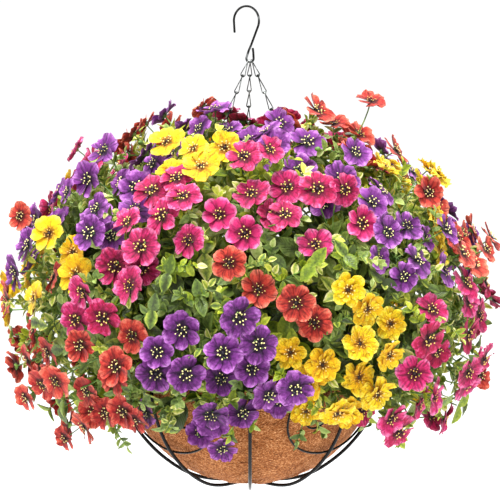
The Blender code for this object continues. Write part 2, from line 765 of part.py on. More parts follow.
def plant_sprays(placed):
    """Place the blooms, grow the main stems, and join the blooms and pairs of leaves to them."""
    draw = random.Random(SEED)
    sprays = [Spray(number + 1, *plan) for number, plan in enumerate(SPRAYS)]
    blooms = [bloom(number, draw) for number in range(BLOOM_COUNT)]
    for head in blooms:
        if not head.place(placed, BLOOM_SHIFT):
            raise RuntimeError("a bloom finds no clear place")
        head.entry = placed.add("bloom", head.alone())
    for spray in sprays:
        if not spray.grow_stem(placed):
            raise RuntimeError(f"the stem of {spray.name} finds no clear route")
    for head in blooms:
        if not join(sprays, placed, head, PETAL_FACE, BLOOM_TRIES):
            raise RuntimeError("a bloom finds no clear branch")
    for number in range(LEAF_PAIRS):
        head = leaf_pair(number, draw)
        if head.place(placed, LEAF_SHIFT):
            join(sprays, placed, head, GREEN_FACE, LEAF_TRIES)
    return sprays


def main():
    """Build the basket from nothing."""
    for old in list(bpy.data.objects):
        bpy.data.objects.remove(old)
    basket = [build_hook(), build_rim(), build_hub(), build_liner()]
    basket += [build_chain(*chain) for chain in CHAINS]
    basket += build_ribs() + build_scrolls()
    placed = Placed()
    for piece in basket:
        solid = bmesh.new()
        solid.from_mesh(piece.data)
        placed.add("basket", solid)
        solid.free()
    sprays = plant_sprays(placed)
    build_foam([spray.path for spray in sprays])
    for spray in sprays:
        spray.build()


main()
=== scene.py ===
"""Hanging basket of artificial daisies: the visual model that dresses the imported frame.

Metres, +Z up. The origin is the seat inside the hook, straight above the middle of the basket.
Azimuths are in degrees, from the front (-Y) towards the right (+X).
"""

import json
import logging
import math
import random
from collections.abc import Callable, Sequence
from dataclasses import dataclass, field
from enum import Enum
from functools import partial

import bmesh
import bpy
from mathutils import Matrix, Vector, noise
from mathutils.kdtree import KDTree

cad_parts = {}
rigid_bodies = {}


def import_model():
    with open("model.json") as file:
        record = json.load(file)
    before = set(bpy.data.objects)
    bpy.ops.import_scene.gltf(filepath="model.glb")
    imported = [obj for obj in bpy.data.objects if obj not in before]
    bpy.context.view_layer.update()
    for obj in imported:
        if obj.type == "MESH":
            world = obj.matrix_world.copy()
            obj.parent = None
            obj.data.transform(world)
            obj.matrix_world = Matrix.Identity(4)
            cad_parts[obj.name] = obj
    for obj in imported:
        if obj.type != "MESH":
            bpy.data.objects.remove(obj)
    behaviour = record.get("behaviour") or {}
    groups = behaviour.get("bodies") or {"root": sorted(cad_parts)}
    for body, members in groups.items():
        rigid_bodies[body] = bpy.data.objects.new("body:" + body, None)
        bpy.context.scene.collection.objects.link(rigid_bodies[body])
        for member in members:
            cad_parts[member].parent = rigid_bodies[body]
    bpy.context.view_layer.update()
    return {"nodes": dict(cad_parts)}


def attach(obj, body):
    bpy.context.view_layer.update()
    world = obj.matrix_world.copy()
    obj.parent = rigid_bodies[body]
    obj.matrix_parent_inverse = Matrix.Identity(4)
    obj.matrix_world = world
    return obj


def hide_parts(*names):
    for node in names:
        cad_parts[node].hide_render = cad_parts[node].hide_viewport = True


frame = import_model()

LOG = logging.getLogger("hanging_basket")
MM = 0.001
BODY = "root"
RIM_Z = -397 * MM
RIM_RADIUS = 152 * MM
RIM_WIRE = 4.4 * MM
UP = Vector((0, 0, 1))
TINT = "tint"
UV_NAME = "UVMap"
GOLDEN_ANGLE = 180 * (3 - math.sqrt(5))
Paint = tuple[tuple[float, str], ...]
FlatPoint = tuple[float, float]


# Helpers


def linear(hex_colour: str) -> tuple[float, float, float, float]:
    """Turn an sRGB hex colour into linear RGBA.

    Args:
        hex_colour: A colour such as "#7A35A8".

    Returns:
        Red, green, blue and an alpha of 1.
    """
    channels = [int(hex_colour[i : i + 2], 16) / 255 for i in (1, 3, 5)]
    red, green, blue = (c / 12.92 if c <= 0.04045 else ((c + 0.055) / 1.055) ** 2.4 for c in channels)
    return red, green, blue, 1.0


def polar(azimuth: float, radius: float, z: float) -> Vector:
    """Point at an azimuth in degrees, a distance from the centre line and a height."""
    turn = math.radians(azimuth)
    return Vector((radius * math.sin(turn), -radius * math.cos(turn), z))


def set_inputs(node: bpy.types.Node, inputs: dict[str | int, object]) -> None:
    """Give a shader node's inputs their values and links.

    Args:
        node: The node.
        inputs: For each input's name or number, a value, an output socket or a node with its first output.
    """
    for name, value in inputs.items():
        if isinstance(value, bpy.types.Node):
            value = value.outputs[0]
        if isinstance(value, bpy.types.NodeSocket):
            node.id_data.links.new(value, node.inputs[name])
        else:
            node.inputs[name].default_value = value


def add_node(
    tree: bpy.types.NodeTree,
    kind: str,
    inputs: dict[str | int, object] | None = None,
    stops: Paint = (),
    **settings: object,
) -> bpy.types.Node:
    """Add a shader node with its settings, values, links and, for a ramp, its colour stops.

    Args:
        tree: The material's node tree.
        kind: The node's type name, without "ShaderNode" before it.
        inputs: What set_inputs gives it.
        stops: For a colour ramp, its (position, sRGB hex) stops.
        **settings: The node's own properties.

    Returns:
        The new node.
    """
    node = tree.nodes.new(f"ShaderNode{kind}")
    for name, value in settings.items():
        setattr(node, name, value)
    set_inputs(node, inputs or {})
    for number, (position, colour) in enumerate(stops):
        elements = node.color_ramp.elements
        stop = elements[number] if number < 2 else elements.new(position)
        stop.position = position
        stop.color = linear(colour)
    return node


def new_material(name: str) -> tuple[bpy.types.Material, bpy.types.Node, Callable[..., bpy.types.Node]]:
    """Make a material with a Principled shader.

    Args:
        name: The material's name.

    Returns:
        The material, its Principled node, and add_node for its own node tree.
    """
    made = bpy.data.materials.new(name)
    made.use_nodes = True
    return made, made.node_tree.nodes["Principled BSDF"], partial(add_node, made.node_tree)


def let_light_through(
    shader: bpy.types.Node, colour: bpy.types.Node | bpy.types.NodeSocket, share: float
) -> None:
    """Let a thin sheet pass a share of the light that falls on its other side.

    Args:
        shader: The material's Principled node.
        colour: What gives the sheet's colour.
        share: The share of the light.
    """
    tree = shader.id_data
    through = add_node(tree, "BsdfTranslucent", {"Color": colour})
    mixed = add_node(tree, "MixShader", {0: share, 1: shader, 2: through})
    set_inputs(tree.nodes["Material Output"], {"Surface": mixed})


def set_only(piece: bpy.types.Object, material: bpy.types.Material) -> None:
    """Give a piece one material.

    Args:
        piece: The piece.
        material: Its material.
    """
    piece.data.materials.clear()
    piece.data.materials.append(material)


def select_only(pieces: Sequence[bpy.types.Object]) -> None:
    """Select some objects and nothing else, with the first one active.

    Args:
        pieces: The objects.
    """
    bpy.ops.object.select_all(action="DESELECT")
    for piece in pieces:
        piece.select_set(True)
    bpy.context.view_layer.objects.active = pieces[0]


def new_primitive(add: Callable[..., object], name: str, **sizes: object) -> bpy.types.Object:
    """Add a primitive with nothing else selected, name it and move its place, turn and size into its mesh.

    Args:
        add: The operator that adds it.
        name: The object's name.
        **sizes: The operator's own arguments.

    Returns:
        The new object.
    """
    bpy.ops.object.select_all(action="DESELECT")
    add(**sizes)
    bpy.ops.object.transform_apply(location=True, rotation=True, scale=True)
    made = bpy.context.view_layer.objects.active
    made.name = name
    made.data.name = name
    return made


def reshape(piece: bpy.types.Object, move: Callable[[Vector], Vector]) -> None:
    """Move each vertex of a piece by a rule.

    Args:
        piece: The piece.
        move: Gives a vertex's new place from its old one.
    """
    for vert in piece.data.vertices:
        vert.co = move(vert.co.copy())
    piece.data.update()


def apply_modifier(piece: bpy.types.Object, kind: str, **settings: object) -> None:
    """Add a modifier to a piece and apply it.

    Args:
        piece: The piece.
        kind: The modifier's type.
        **settings: Its properties.
    """
    modifier = piece.modifiers.new(kind.lower(), kind)
    for name, value in settings.items():
        setattr(modifier, name, value)
    select_only([piece])
    bpy.ops.object.modifier_apply(modifier=modifier.name)


def smooth(piece: bpy.types.Object, degrees: float) -> None:
    """Shade a piece smooth, apart from edges sharper than an angle.

    Args:
        piece: The piece.
        degrees: The angle.
    """
    select_only([piece])
    bpy.ops.object.shade_smooth_by_angle(angle=math.radians(degrees))


def close_sheet(piece: bpy.types.Object, thickness: float) -> None:
    """Give an open sheet an underside that meets it along its outline.

    Args:
        piece: The sheet, which faces +Z.
        thickness: How far the underside lies below the sheet's middle.
    """
    select_only([piece])
    bpy.ops.object.mode_set(mode="EDIT")
    bpy.ops.mesh.select_all(action="SELECT")
    bpy.ops.mesh.duplicate()
    bpy.ops.mesh.flip_normals()
    bpy.ops.mesh.select_less()
    bpy.ops.transform.translate(value=(0, 0, -thickness))
    bpy.ops.mesh.select_all(action="SELECT")
    bpy.ops.mesh.remove_doubles(threshold=0.001)
    bpy.ops.object.mode_set(mode="OBJECT")


def add_tint(piece: bpy.types.Object, value: float) -> None:
    """Store one number on all of a piece's vertices, which its material reads.

    Args:
        piece: The piece.
        value: The number.
    """
    mesh = piece.data
    layer = mesh.attributes.get(TINT) or mesh.attributes.new(TINT, "FLOAT", "POINT")
    layer.data.foreach_set("value", [value] * len(mesh.vertices))


def copy_to(shape: bpy.types.Object, place: Matrix, tint: float | None = None) -> bpy.types.Object:
    """Copy a shape with a mesh of its own to a place.

    Args:
        shape: The shape, modelled at the origin.
        place: Where the copy goes.
        tint: The number for its material, or None to keep the shape's own.

    Returns:
        The copy.
    """
    made = shape.copy()
    made.data = shape.data.copy()
    made.data.transform(place)
    bpy.context.scene.collection.objects.link(made)
    if tint is not None:
        add_tint(made, tint)
    return made


def join(parts: Sequence[bpy.types.Object], name: str) -> bpy.types.Object:
    """Join objects into the first one.

    Args:
        parts: The objects.
        name: The joined object's name.

    Returns:
        The joined object.
    """
    select_only(parts)
    if len(parts) > 1:
        bpy.ops.object.join()
    joined = bpy.context.view_layer.objects.active
    joined.name = name
    joined.data.name = name
    return joined


def delete(pieces: Sequence[bpy.types.Object]) -> None:
    """Remove shapes that have been copied.

    Args:
        pieces: The shapes.
    """
    for piece in pieces:
        bpy.data.objects.remove(piece)


def search_tree(spots: Sequence[Vector]) -> KDTree:
    """Make a tree that finds the nearest of some points.

    Args:
        spots: The points.

    Returns:
        The tree, which gives a point's place in the list.
    """
    tree = KDTree(len(spots))
    for index, spot in enumerate(spots):
        tree.insert(spot, index)
    tree.balance()
    return tree


@dataclass
class Run:
    """One run of wire or stem: its points, and its radius at each."""

    points: list[Vector]
    radii: list[float]
    closed: bool = False

    @classmethod
    def even(cls, points: list[Vector], radius: float, closed: bool = False) -> "Run":
        """Make a run that is as thick all along.

        Args:
            points: Its points.
            radius: Its radius.
            closed: Whether its end meets its start.

        Returns:
            The run.
        """
        return cls(points, [radius] * len(points), closed)


def make_tubes(
    name: str, runs: Sequence[Run], rounding: int, material: bpy.types.Material
) -> bpy.types.Object:
    """Make round tubes along runs from one bevelled curve, as a mesh.

    Args:
        name: The object's name.
        runs: The tubes.
        rounding: The bevel's resolution; 0 gives four sides, 1 gives six and 3 gives ten.
        material: The tubes' material.

    Returns:
        The mesh object.
    """
    piece = new_primitive(bpy.ops.curve.primitive_nurbs_path_add, name)
    curve = piece.data
    curve.splines.clear()
    curve.dimensions = "3D"
    curve.twist_mode = "MINIMUM"
    curve.bevel_depth = 1.0
    curve.bevel_resolution = rounding
    curve.use_fill_caps = True
    for run in runs:
        spline = curve.splines.new("POLY")
        spline.points.add(len(run.points) - 1)
        spline.use_cyclic_u = run.closed
        for point, spot, radius in zip(spline.points, run.points, run.radii):
            point.co = (*spot, 1.0)
            point.radius = radius
    curve.materials.append(material)
    select_only([piece])
    bpy.ops.object.convert(target="MESH")
    made = bpy.context.view_layer.objects.active
    made.data.shade_smooth()
    return made


def quadratic(start: Vector, middle: Vector, end: Vector, steps: int) -> list[Vector]:
    """Points on a curve that leaves its start towards a middle point and comes from there to its end.

    Args:
        start: The first point.
        middle: The point that pulls the curve.
        end: The last point.
        steps: How many stretches it has.

    Returns:
        The points.
    """
    shares = [k / steps for k in range(steps + 1)]
    return [start * (1 - t) ** 2 + middle * 2 * t * (1 - t) + end * t**2 for t in shares]


def rounded(points: Sequence[Vector], steps: int) -> list[Vector]:
    """Points on a smooth curve through given ones.

    Args:
        points: The points to pass.
        steps: How many stretches lie between two of them.

    Returns:
        The finer points.
    """
    ends = [2 * points[0] - points[1], *points, 2 * points[-1] - points[-2]]
    made = [points[0].copy()]
    for a, b, c, d in zip(ends, ends[1:], ends[2:], ends[3:]):
        for k in range(1, steps + 1):
            t = k / steps
            spot = 2 * b + (c - a) * t + (2 * a - 5 * b + 4 * c - d) * t**2 + (3 * b - a - 3 * c + d) * t**3
            made.append(spot / 2)
    return made


def spaced(points: Sequence[Vector], step: float) -> list[Vector]:
    """Add points along the long stretches between given ones.

    Args:
        points: The given points.
        step: Roughly the greatest distance between two points.

    Returns:
        The points with the added ones.
    """
    made = [points[0].copy()]
    for start, end in zip(points, points[1:]):
        count = max(1, round((end - start).length / step))
        made += [start.lerp(end, k / count) for k in range(1, count + 1)]
    return made


def arc(centre: FlatPoint, radius: float, start: float, end: float, steps: int) -> list[FlatPoint]:
    """Points (x, z) on an arc, angles in degrees anticlockwise from +x.

    Args:
        centre: The arc's centre.
        radius: Its radius.
        start: The first point's angle.
        end: The last point's angle.
        steps: How many stretches it has.

    Returns:
        The points.
    """
    turns = [math.radians(start + (end - start) * k / steps) for k in range(steps + 1)]
    return [(centre[0] + radius * math.cos(t), centre[1] + radius * math.sin(t)) for t in turns]


def frame_at(spot: Vector, ahead: Vector, normal: Vector, size: float) -> Matrix:
    """Place for a shape that points along +Y and faces +Z.

    Args:
        spot: Where its origin goes.
        ahead: The direction of its +Y.
        normal: Roughly the direction of its +Z.
        size: Its scale.

    Returns:
        The matrix.
    """
    y = ahead.normalized()
    x = y.cross(normal).normalized()
    z = x.cross(y)
    turn = Matrix((x, y, z)).transposed().to_4x4()
    return Matrix.Translation(spot) @ turn @ Matrix.Scale(size, 4)


def dress(piece: bpy.types.Object, slot: str, *nodes: str) -> None:
    """Let a finished piece ride on the basket and stand for CAD nodes, and report it.

    Args:
        piece: The piece.
        slot: Not used.
        *nodes: The CAD nodes that it replaces.
    """
    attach(piece, BODY)
    if nodes:
        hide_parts(*nodes)
    LOG.info("%s: %d faces", piece.name, len(piece.data.polygons))


# Finishes


class FlowerColour(Enum):
    """The four colours of daisy."""

    PURPLE = "purple"
    FUCHSIA = "fuchsia"
    RED = "red"
    YELLOW = "yellow"


@dataclass(frozen=True)
class PetalCloth:
    """Printed polyester cloth, heat-set into creases.

    The print is deeper at the petal's root and paler at its edge, and the pale edge also carries a painted
    highlight. The creases are darker with painted shade as well as printed veins.
    """

    name: str
    deep: Paint
    pale: Paint
    # The crease colour: painted shade in the creases, together with printed veins
    crease: str
    crease_share: float = 0.75
    mottle: float = 0.35
    speck_share: float = 0.12
    roughness: float = 0.7
    specular: float = 0.3
    sheen: float = 0.14
    creases_across: float = 6.5
    # How far apart in the noise two flowers' creases lie
    fan_step: float = 37.0
    blotches_per_metre: float = 260.0
    specks_per_metre: float = 650.0
    threads_per_metre: float = 1000.0
    relief_mm: float = 0.9
    glow: float = 0.25

    def material(self) -> bpy.types.Material:
        """Build the cloth's nodes.

        Returns:
            The material.
        """
        made, shader, add = new_material(self.name)
        spot = add("TexCoord").outputs["Object"]
        tint = add("Attribute", attribute_name=TINT).outputs["Fac"]
        split = add("SeparateXYZ", {0: add("UVMap", uv_map=UV_NAME)})
        # Creases that run from the petal's root, laid out anew on each flower
        across = add("Math", {0: split.outputs["X"], 1: self.creases_across}, operation="MULTIPLY")
        apart = add("Math", {0: tint, 1: self.fan_step}, operation="MULTIPLY")
        fan = add("CombineXYZ", {"X": across, "Y": split.outputs["Y"], "Z": apart})
        streaks = add("TexNoise", {"Vector": fan, "Scale": 1.0, "Detail": 2.0, "Roughness": 0.55})
        # Blotches of dye about 4 mm wide
        blotches = add("TexNoise", {"Vector": spot, "Scale": self.blotches_per_metre, "Detail": 3.0})
        shift = add("Math", {0: blotches, 1: 0.5, 2: split.outputs["Y"]}, operation="MULTIPLY_ADD")
        along = add("Math", {0: shift, 1: 0.25}, operation="SUBTRACT")
        # Darker at the root and paler at the tip: print, with a painted highlight on the pale tip
        deep = add("ValToRGB", {"Fac": along}, self.deep)
        pale = add("ValToRGB", {"Fac": along}, self.pale)
        # Each flower's own shade, paler on flowers near the crown as painted light from above, mottled over
        # its petals
        limits = {"From Min": 0.35, "From Max": 0.65, "To Min": -self.mottle, "To Max": self.mottle}
        uneven = add("MapRange", {"Value": blotches, **limits})
        shade = add("Math", {0: tint, 1: uneven}, operation="ADD", use_clamp=True)
        dye_and_painted_light = add("Mix", {"Factor": shade, 6: deep, 7: pale}, data_type="RGBA").outputs[2]
        # Painted shade in the creases, together with printed veins
        folds = add("MapRange", {"Value": streaks, "From Min": 0.52, "From Max": 0.3})
        share = add("Math", {0: folds, 1: self.crease_share}, operation="MULTIPLY")
        # Specks of deeper dye 1.5 mm across
        grain = add("TexNoise", {"Vector": spot, "Scale": self.specks_per_metre, "Detail": 2.0})
        limits = {"From Min": 0.5, "From Max": 0.62, "To Max": self.speck_share}
        specks = add("MapRange", {"Value": grain, **limits})
        share = add("Math", {0: share, 1: specks}, operation="ADD", use_clamp=True)
        colour = add("Mix", {"Factor": share, 6: dye_and_painted_light, 7: linear(self.crease)}, data_type="RGBA").outputs[2]
        # The weave's threads lie 0.3 mm apart; they are drawn 1 mm apart so that they show
        weave = add("TexNoise", {"Vector": spot, "Scale": self.threads_per_metre, "Detail": 1.0})
        height = add("Math", {0: weave, 1: 0.2, 2: streaks}, operation="MULTIPLY_ADD")
        bump = add("Bump", {"Strength": 0.8, "Distance": self.relief_mm * MM, "Height": height})
        let_light_through(shader, colour, self.glow)
        set_inputs(shader, {"Base Color": colour, "Normal": bump, "Roughness": self.roughness})
        set_inputs(shader, {"Sheen Weight": self.sheen, "Specular IOR Level": self.specular})
        return made


@dataclass(frozen=True)
class Stamens:
    """Moulded polyethylene flower centre: a dark button in a ring of pale anthers."""

    name: str
    paint: Paint
    roughness: float = 0.5
    grains_per_metre: float = 1400.0
    relief_mm: float = 0.3

    def material(self) -> bpy.types.Material:
        """Build the plastic's nodes: the number stored on a part picks its colour.

        Returns:
            The material.
        """
        made, shader, add = new_material(self.name)
        spot = add("TexCoord").outputs["Object"]
        tint = add("Attribute", attribute_name=TINT).outputs["Fac"]
        # Grains of 0.7 mm
        grain = add("TexNoise", {"Vector": spot, "Scale": self.grains_per_metre})
        mixed = add("Math", {0: grain, 1: 0.16, 2: tint}, operation="MULTIPLY_ADD")
        ramp = add("ValToRGB", {"Fac": mixed}, self.paint)
        bump = add("Bump", {"Strength": 0.5, "Distance": self.relief_mm * MM, "Height": grain})
        set_inputs(shader, {"Base Color": ramp, "Normal": bump, "Roughness": self.roughness})
        return made


@dataclass(frozen=True)
class LeafFilm:
    """Printed polyethylene leaf: glossy, and paler towards its edge."""

    name: str
    paint: Paint
    edge_weight: float
    roughness: float = 0.3
    blotches_per_metre: float = 330.0
    vein_count: float = 7.0
    vein_slant: float = 0.9
    relief_mm: float = 0.4
    glow: float = 0.3

    def material(self) -> bpy.types.Material:
        """Build the leaf's nodes: the printed edge, the side veins and the gloss.

        Returns:
            The material.
        """
        made, shader, add = new_material(self.name)
        spot = add("TexCoord").outputs["Object"]
        tint = add("Attribute", attribute_name=TINT).outputs["Fac"]
        split = add("SeparateXYZ", {0: add("UVMap", uv_map=UV_NAME)})
        # Blotches of ink 3 mm wide
        blotches = add("TexNoise", {"Vector": spot, "Scale": self.blotches_per_metre, "Detail": 3.0})
        middle = add("Math", {0: split.outputs["X"], 1: 0.5}, operation="SUBTRACT")
        edge = add("Math", {0: middle}, operation="ABSOLUTE")
        # The tint widens the pale edge; near the crown it carries painted light from above
        reach = add("Math", {0: edge, 1: self.edge_weight, 2: tint}, operation="MULTIPLY_ADD")
        spread = add("Math", {0: blotches, 1: 0.7, 2: reach}, operation="MULTIPLY_ADD")
        level = add("Math", {0: spread, 1: 0.62}, operation="SUBTRACT")
        ramp = add("ValToRGB", {"Fac": level}, self.paint)
        slant = add("Math", {0: edge, 1: -self.vein_slant, 2: split.outputs["Y"]}, operation="MULTIPLY_ADD")
        ridges = add("Math", {0: slant, 1: self.vein_count * 2 * math.pi}, operation="MULTIPLY")
        veins = add("Math", {0: ridges}, operation="SINE")
        bump = add("Bump", {"Strength": 0.35, "Distance": self.relief_mm * MM, "Height": veins})
        let_light_through(shader, ramp, self.glow)
        set_inputs(shader, {"Base Color": ramp, "Normal": bump, "Roughness": self.roughness})
        return made


@dataclass(frozen=True)
class MottledFinish:
    """A finish whose colour and relief come from one noise on the object's own coordinates."""

    name: str
    paint: Paint
    grain_mm: float
    roughness: float
    roughness_spread: float = 0.1
    metallic: float = 0.0
    relief_mm: float = 0.2
    specular: float = 0.5

    def material(self) -> bpy.types.Material:
        """Build the finish's nodes.

        Returns:
            The material.
        """
        made, shader, add = new_material(self.name)
        spot = add("TexCoord").outputs["Object"]
        grain = add("TexNoise", {"Vector": spot, "Scale": 1000 / self.grain_mm, "Detail": 4.0})
        ramp = add("ValToRGB", {"Fac": grain}, self.paint)
        least = max(0.0, self.roughness - self.roughness_spread)
        most = min(1.0, self.roughness + self.roughness_spread)
        rough = add("MapRange", {"Value": grain, "To Min": least, "To Max": most})
        bump = add("Bump", {"Strength": 0.5, "Distance": self.relief_mm * MM, "Height": grain})
        set_inputs(shader, {"Base Color": ramp, "Normal": bump, "Roughness": rough})
        set_inputs(shader, {"Metallic": self.metallic, "Specular IOR Level": self.specular})
        return made


@dataclass(frozen=True)
class CoirFelt:
    """Coconut fibre pressed with latex: a rough felt of crossing fibres."""

    name: str = "coir_latex_bonded"
    paint: Paint = (
        (0.0, "#43200C"),
        (0.3, "#733E18"),
        (0.5, "#925327"),
        (0.7, "#B07343"),
        (1.0, "#DEA877"),
    )
    fibre_mm: float = 1.3
    fibre_length_mm: float = 2.6
    fibre_turns: tuple[tuple[float, float, float], ...] = ((0, 35, 20), (25, -40, 75), (70, 10, -50))
    clumps_per_metre: float = 55.0
    relief_mm: float = 0.9
    roughness: float = 0.92
    specular: float = 0.2

    def material(self) -> bpy.types.Material:
        """Build the felt's nodes: three layers of fibres, each laid in another direction.

        Returns:
            The material.
        """
        made, shader, add = new_material(self.name)
        spot = add("TexCoord").outputs["Object"]
        # Coir fibres are 0.3 mm thick; they are drawn 1.3 mm thick so that they show
        fine, coarse = 1000 / self.fibre_mm, 1000 / self.fibre_length_mm
        height = None
        for angles in self.fibre_turns:
            turn = [math.radians(angle) for angle in angles]
            laid = add("Mapping", {"Vector": spot, "Rotation": turn, "Scale": (coarse, fine, fine)})
            fibres = add("TexNoise", {"Vector": laid, "Scale": 1.0, "Detail": 2.0, "Distortion": 0.6})
            height = fibres if height is None else add("Math", {0: height, 1: fibres}, operation="MAXIMUM")
        # Clumps about 18 mm wide, where the felt is thicker and paler
        clumps = add("TexNoise", {"Vector": spot, "Scale": self.clumps_per_metre, "Detail": 3.0})
        level = add("Math", {0: clumps, 1: 0.14, 2: height}, operation="MULTIPLY_ADD")
        spread = add("MapRange", {"Value": level, "From Min": 0.47, "From Max": 0.81})
        ramp = add("ValToRGB", {"Fac": spread}, self.paint)
        bump = add("Bump", {"Strength": 0.8, "Distance": self.relief_mm * MM, "Height": spread})
        set_inputs(shader, {"Base Color": ramp, "Normal": bump})
        set_inputs(shader, {"Roughness": self.roughness, "Specular IOR Level": self.specular})
        return made


# Each cloth's ramps end in a pale tip that holds a painted highlight; its crease colour holds painted shade
# as well as printed veins
PETAL_CLOTHS = {
    FlowerColour.PURPLE: PetalCloth(
        "petal_polyester_purple",
        ((0.0, "#14061A"), (0.26, "#260A2C"), (0.42, "#52185C"), (0.7, "#6C2476"), (0.95, "#9C46A8")),
        ((0.0, "#1A0820"), (0.26, "#380E40"), (0.42, "#722880"), (0.7, "#9844A4"), (0.95, "#D890E2")),
        "#2A0C30",
    ),
    FlowerColour.FUCHSIA: PetalCloth(
        "petal_polyester_fuchsia",
        ((0.0, "#26050F"), (0.26, "#560822"), (0.42, "#9C0E3A"), (0.7, "#C0144A"), (0.95, "#DE3474")),
        ((0.0, "#34081A"), (0.26, "#761038"), (0.42, "#CA2064"), (0.7, "#E63684"), (0.95, "#FC92C4")),
        "#58082C",
    ),
    FlowerColour.RED: PetalCloth(
        "petal_polyester_red",
        ((0.0, "#220507"), (0.26, "#520C0E"), (0.42, "#98181A"), (0.7, "#BC2826"), (0.95, "#DE5044")),
        ((0.0, "#300908"), (0.26, "#701412"), (0.42, "#C6362A"), (0.7, "#E2523E"), (0.95, "#FC9476")),
        "#520C0A",
    ),
    FlowerColour.YELLOW: PetalCloth(
        "petal_polyester_yellow",
        ((0.0, "#4A2406"), (0.2, "#A0660A"), (0.36, "#EEB004"), (0.7, "#FACA08"), (0.95, "#FEDE24")),
        ((0.0, "#5C300A"), (0.2, "#BE860C"), (0.36, "#F2D00E"), (0.7, "#FBE616"), (0.95, "#FDF462")),
        "#A8640A",
        crease_share=0.6,
        speck_share=0.32,
    ),
}
STAMEN_PAINTS = {
    colour: Stamens(f"stamen_polyethylene_{colour.value}", tuple(zip((0.0, 0.35, 0.6, 1.0), shades)))
    for colour, shades in (
        (FlowerColour.PURPLE, ("#0E0616", "#1C0C28", "#E0CC74", "#F8F0A8")),
        (FlowerColour.FUCHSIA, ("#1E0610", "#380A1A", "#E4A838", "#F8DC7C")),
        (FlowerColour.RED, ("#160506", "#2A090A", "#DCB44C", "#F6E498")),
        (FlowerColour.YELLOW, ("#201006", "#3E1E08", "#D8A030", "#F6E08A")),
    )
}
# Each kind of leaf with the level that a slow noise stays under where it grows, so that it fills patches
LEAF_FILMS = (
    (
        -0.05,
        LeafFilm(
            "leaf_deep_green_polyethylene",
            ((0.0, "#445426"), (0.2, "#6A823A"), (0.4, "#90A84E"), (0.6, "#B6C86C"), (0.9, "#DCE4A2")),
            edge_weight=0.45,
        ),
    ),
    (
        0.2,
        LeafFilm(
            "leaf_cream_edged_polyethylene",
            ((0.0, "#414E22"), (0.26, "#6C8436"), (0.46, "#A4B846"), (0.64, "#D4DA5A"), (0.92, "#FAF4B6")),
            edge_weight=1.1,
        ),
    ),
    (
        9.0,
        LeafFilm(
            "leaf_lime_polyethylene",
            ((0.0, "#52681F"), (0.25, "#8AA22C"), (0.5, "#BCCA38"), (0.75, "#E4E45C"), (1.0, "#F6F29A")),
            edge_weight=0.5,
        ),
    ),
)
# Extruded polyethylene over wire: satin, yellow-green with browner patches
STEM_PLASTIC = MottledFinish(
    "stem_polyethylene",
    ((0.3, "#36521E"), (0.5, "#5E8434"), (0.62, "#86A848"), (0.8, "#B0C468")),
    grain_mm=9.0,
    roughness=0.5,
)
# Powder-coated steel wire: a satin black with a faint orange-peel skin and grey where the light catches
WIRE_COAT = MottledFinish(
    "wire_powder_coated_steel",
    ((0.3, "#050606"), (0.55, "#0A0B0B"), (0.8, "#151716")),
    grain_mm=2.5,
    roughness=0.26,
    relief_mm=0.15,
    specular=0.14,
)
# Drawn steel wire, dulled by a thin dark oxide, with silver patches that are painted reflections
CHAIN_STEEL = MottledFinish(
    "chain_drawn_steel",
    ((0.35, "#0C0D0D"), (0.48, "#2E3130"), (0.58, "#7C807E"), (0.72, "#B4B8B6")),
    grain_mm=7.0,
    roughness=0.34,
    metallic=0.8,
    relief_mm=0.1,
)
# Black-chromated steel wire, glossier than the bowl's coat, with grey patches that are painted highlights
HOOK_CHROMATE = MottledFinish(
    "hook_black_chromated_steel",
    ((0.44, "#060707"), (0.5, "#111212"), (0.54, "#3A3C3C"), (0.62, "#7A7D7D")),
    grain_mm=13.0,
    roughness=0.2,
    metallic=0.6,
    relief_mm=0.1,
)
# Phenolic flower foam: dry, open-celled and crumbly
FOAM_CELLS = MottledFinish(
    "foam_phenolic",
    ((0.3, "#24361F"), (0.55, "#3F5A34"), (0.8, "#5C7A4C")),
    grain_mm=3.0,
    roughness=0.9,
    relief_mm=1.2,
)


# What the CAD says


@dataclass
class Head:
    """What a CAD branch ends in: its seat and facing, its first lobe's direction, its reach and its root."""

    seat: Vector
    facing: Vector
    spoke: Vector
    reach: float
    cup: float
    root: Vector

    def base(self) -> Vector:
        """Where the branch meets the underside, 2.4 mm behind the seat."""
        return self.seat - self.facing * 2.4 * MM

    def nod(self, down: float, up: float) -> None:
        """Turn the head toward level, outward from the basket's axis, the more the steeper it faces.

        Args:
            down: How far a head that faces up nods.
            up: How far a head that faces down lifts.
        """
        outward = Vector((self.seat.x, self.seat.y, 0)).normalized()
        share = down * max(0.0, self.facing.z) + up * max(0.0, -self.facing.z)
        ahead = (self.facing + outward * share).normalized()
        tilt = self.facing.rotation_difference(ahead)
        self.facing = ahead
        self.spoke = tilt @ self.spoke

    def lean(self, degrees: float, turn: float) -> None:
        """Lean the head.

        Args:
            degrees: How far.
            turn: The direction, as an angle about the head's axis.
        """
        across = Matrix.Rotation(turn, 3, self.facing) @ self.spoke
        tilt = Matrix.Rotation(math.radians(degrees), 3, across)
        self.facing = tilt @ self.facing
        self.spoke = tilt @ self.spoke


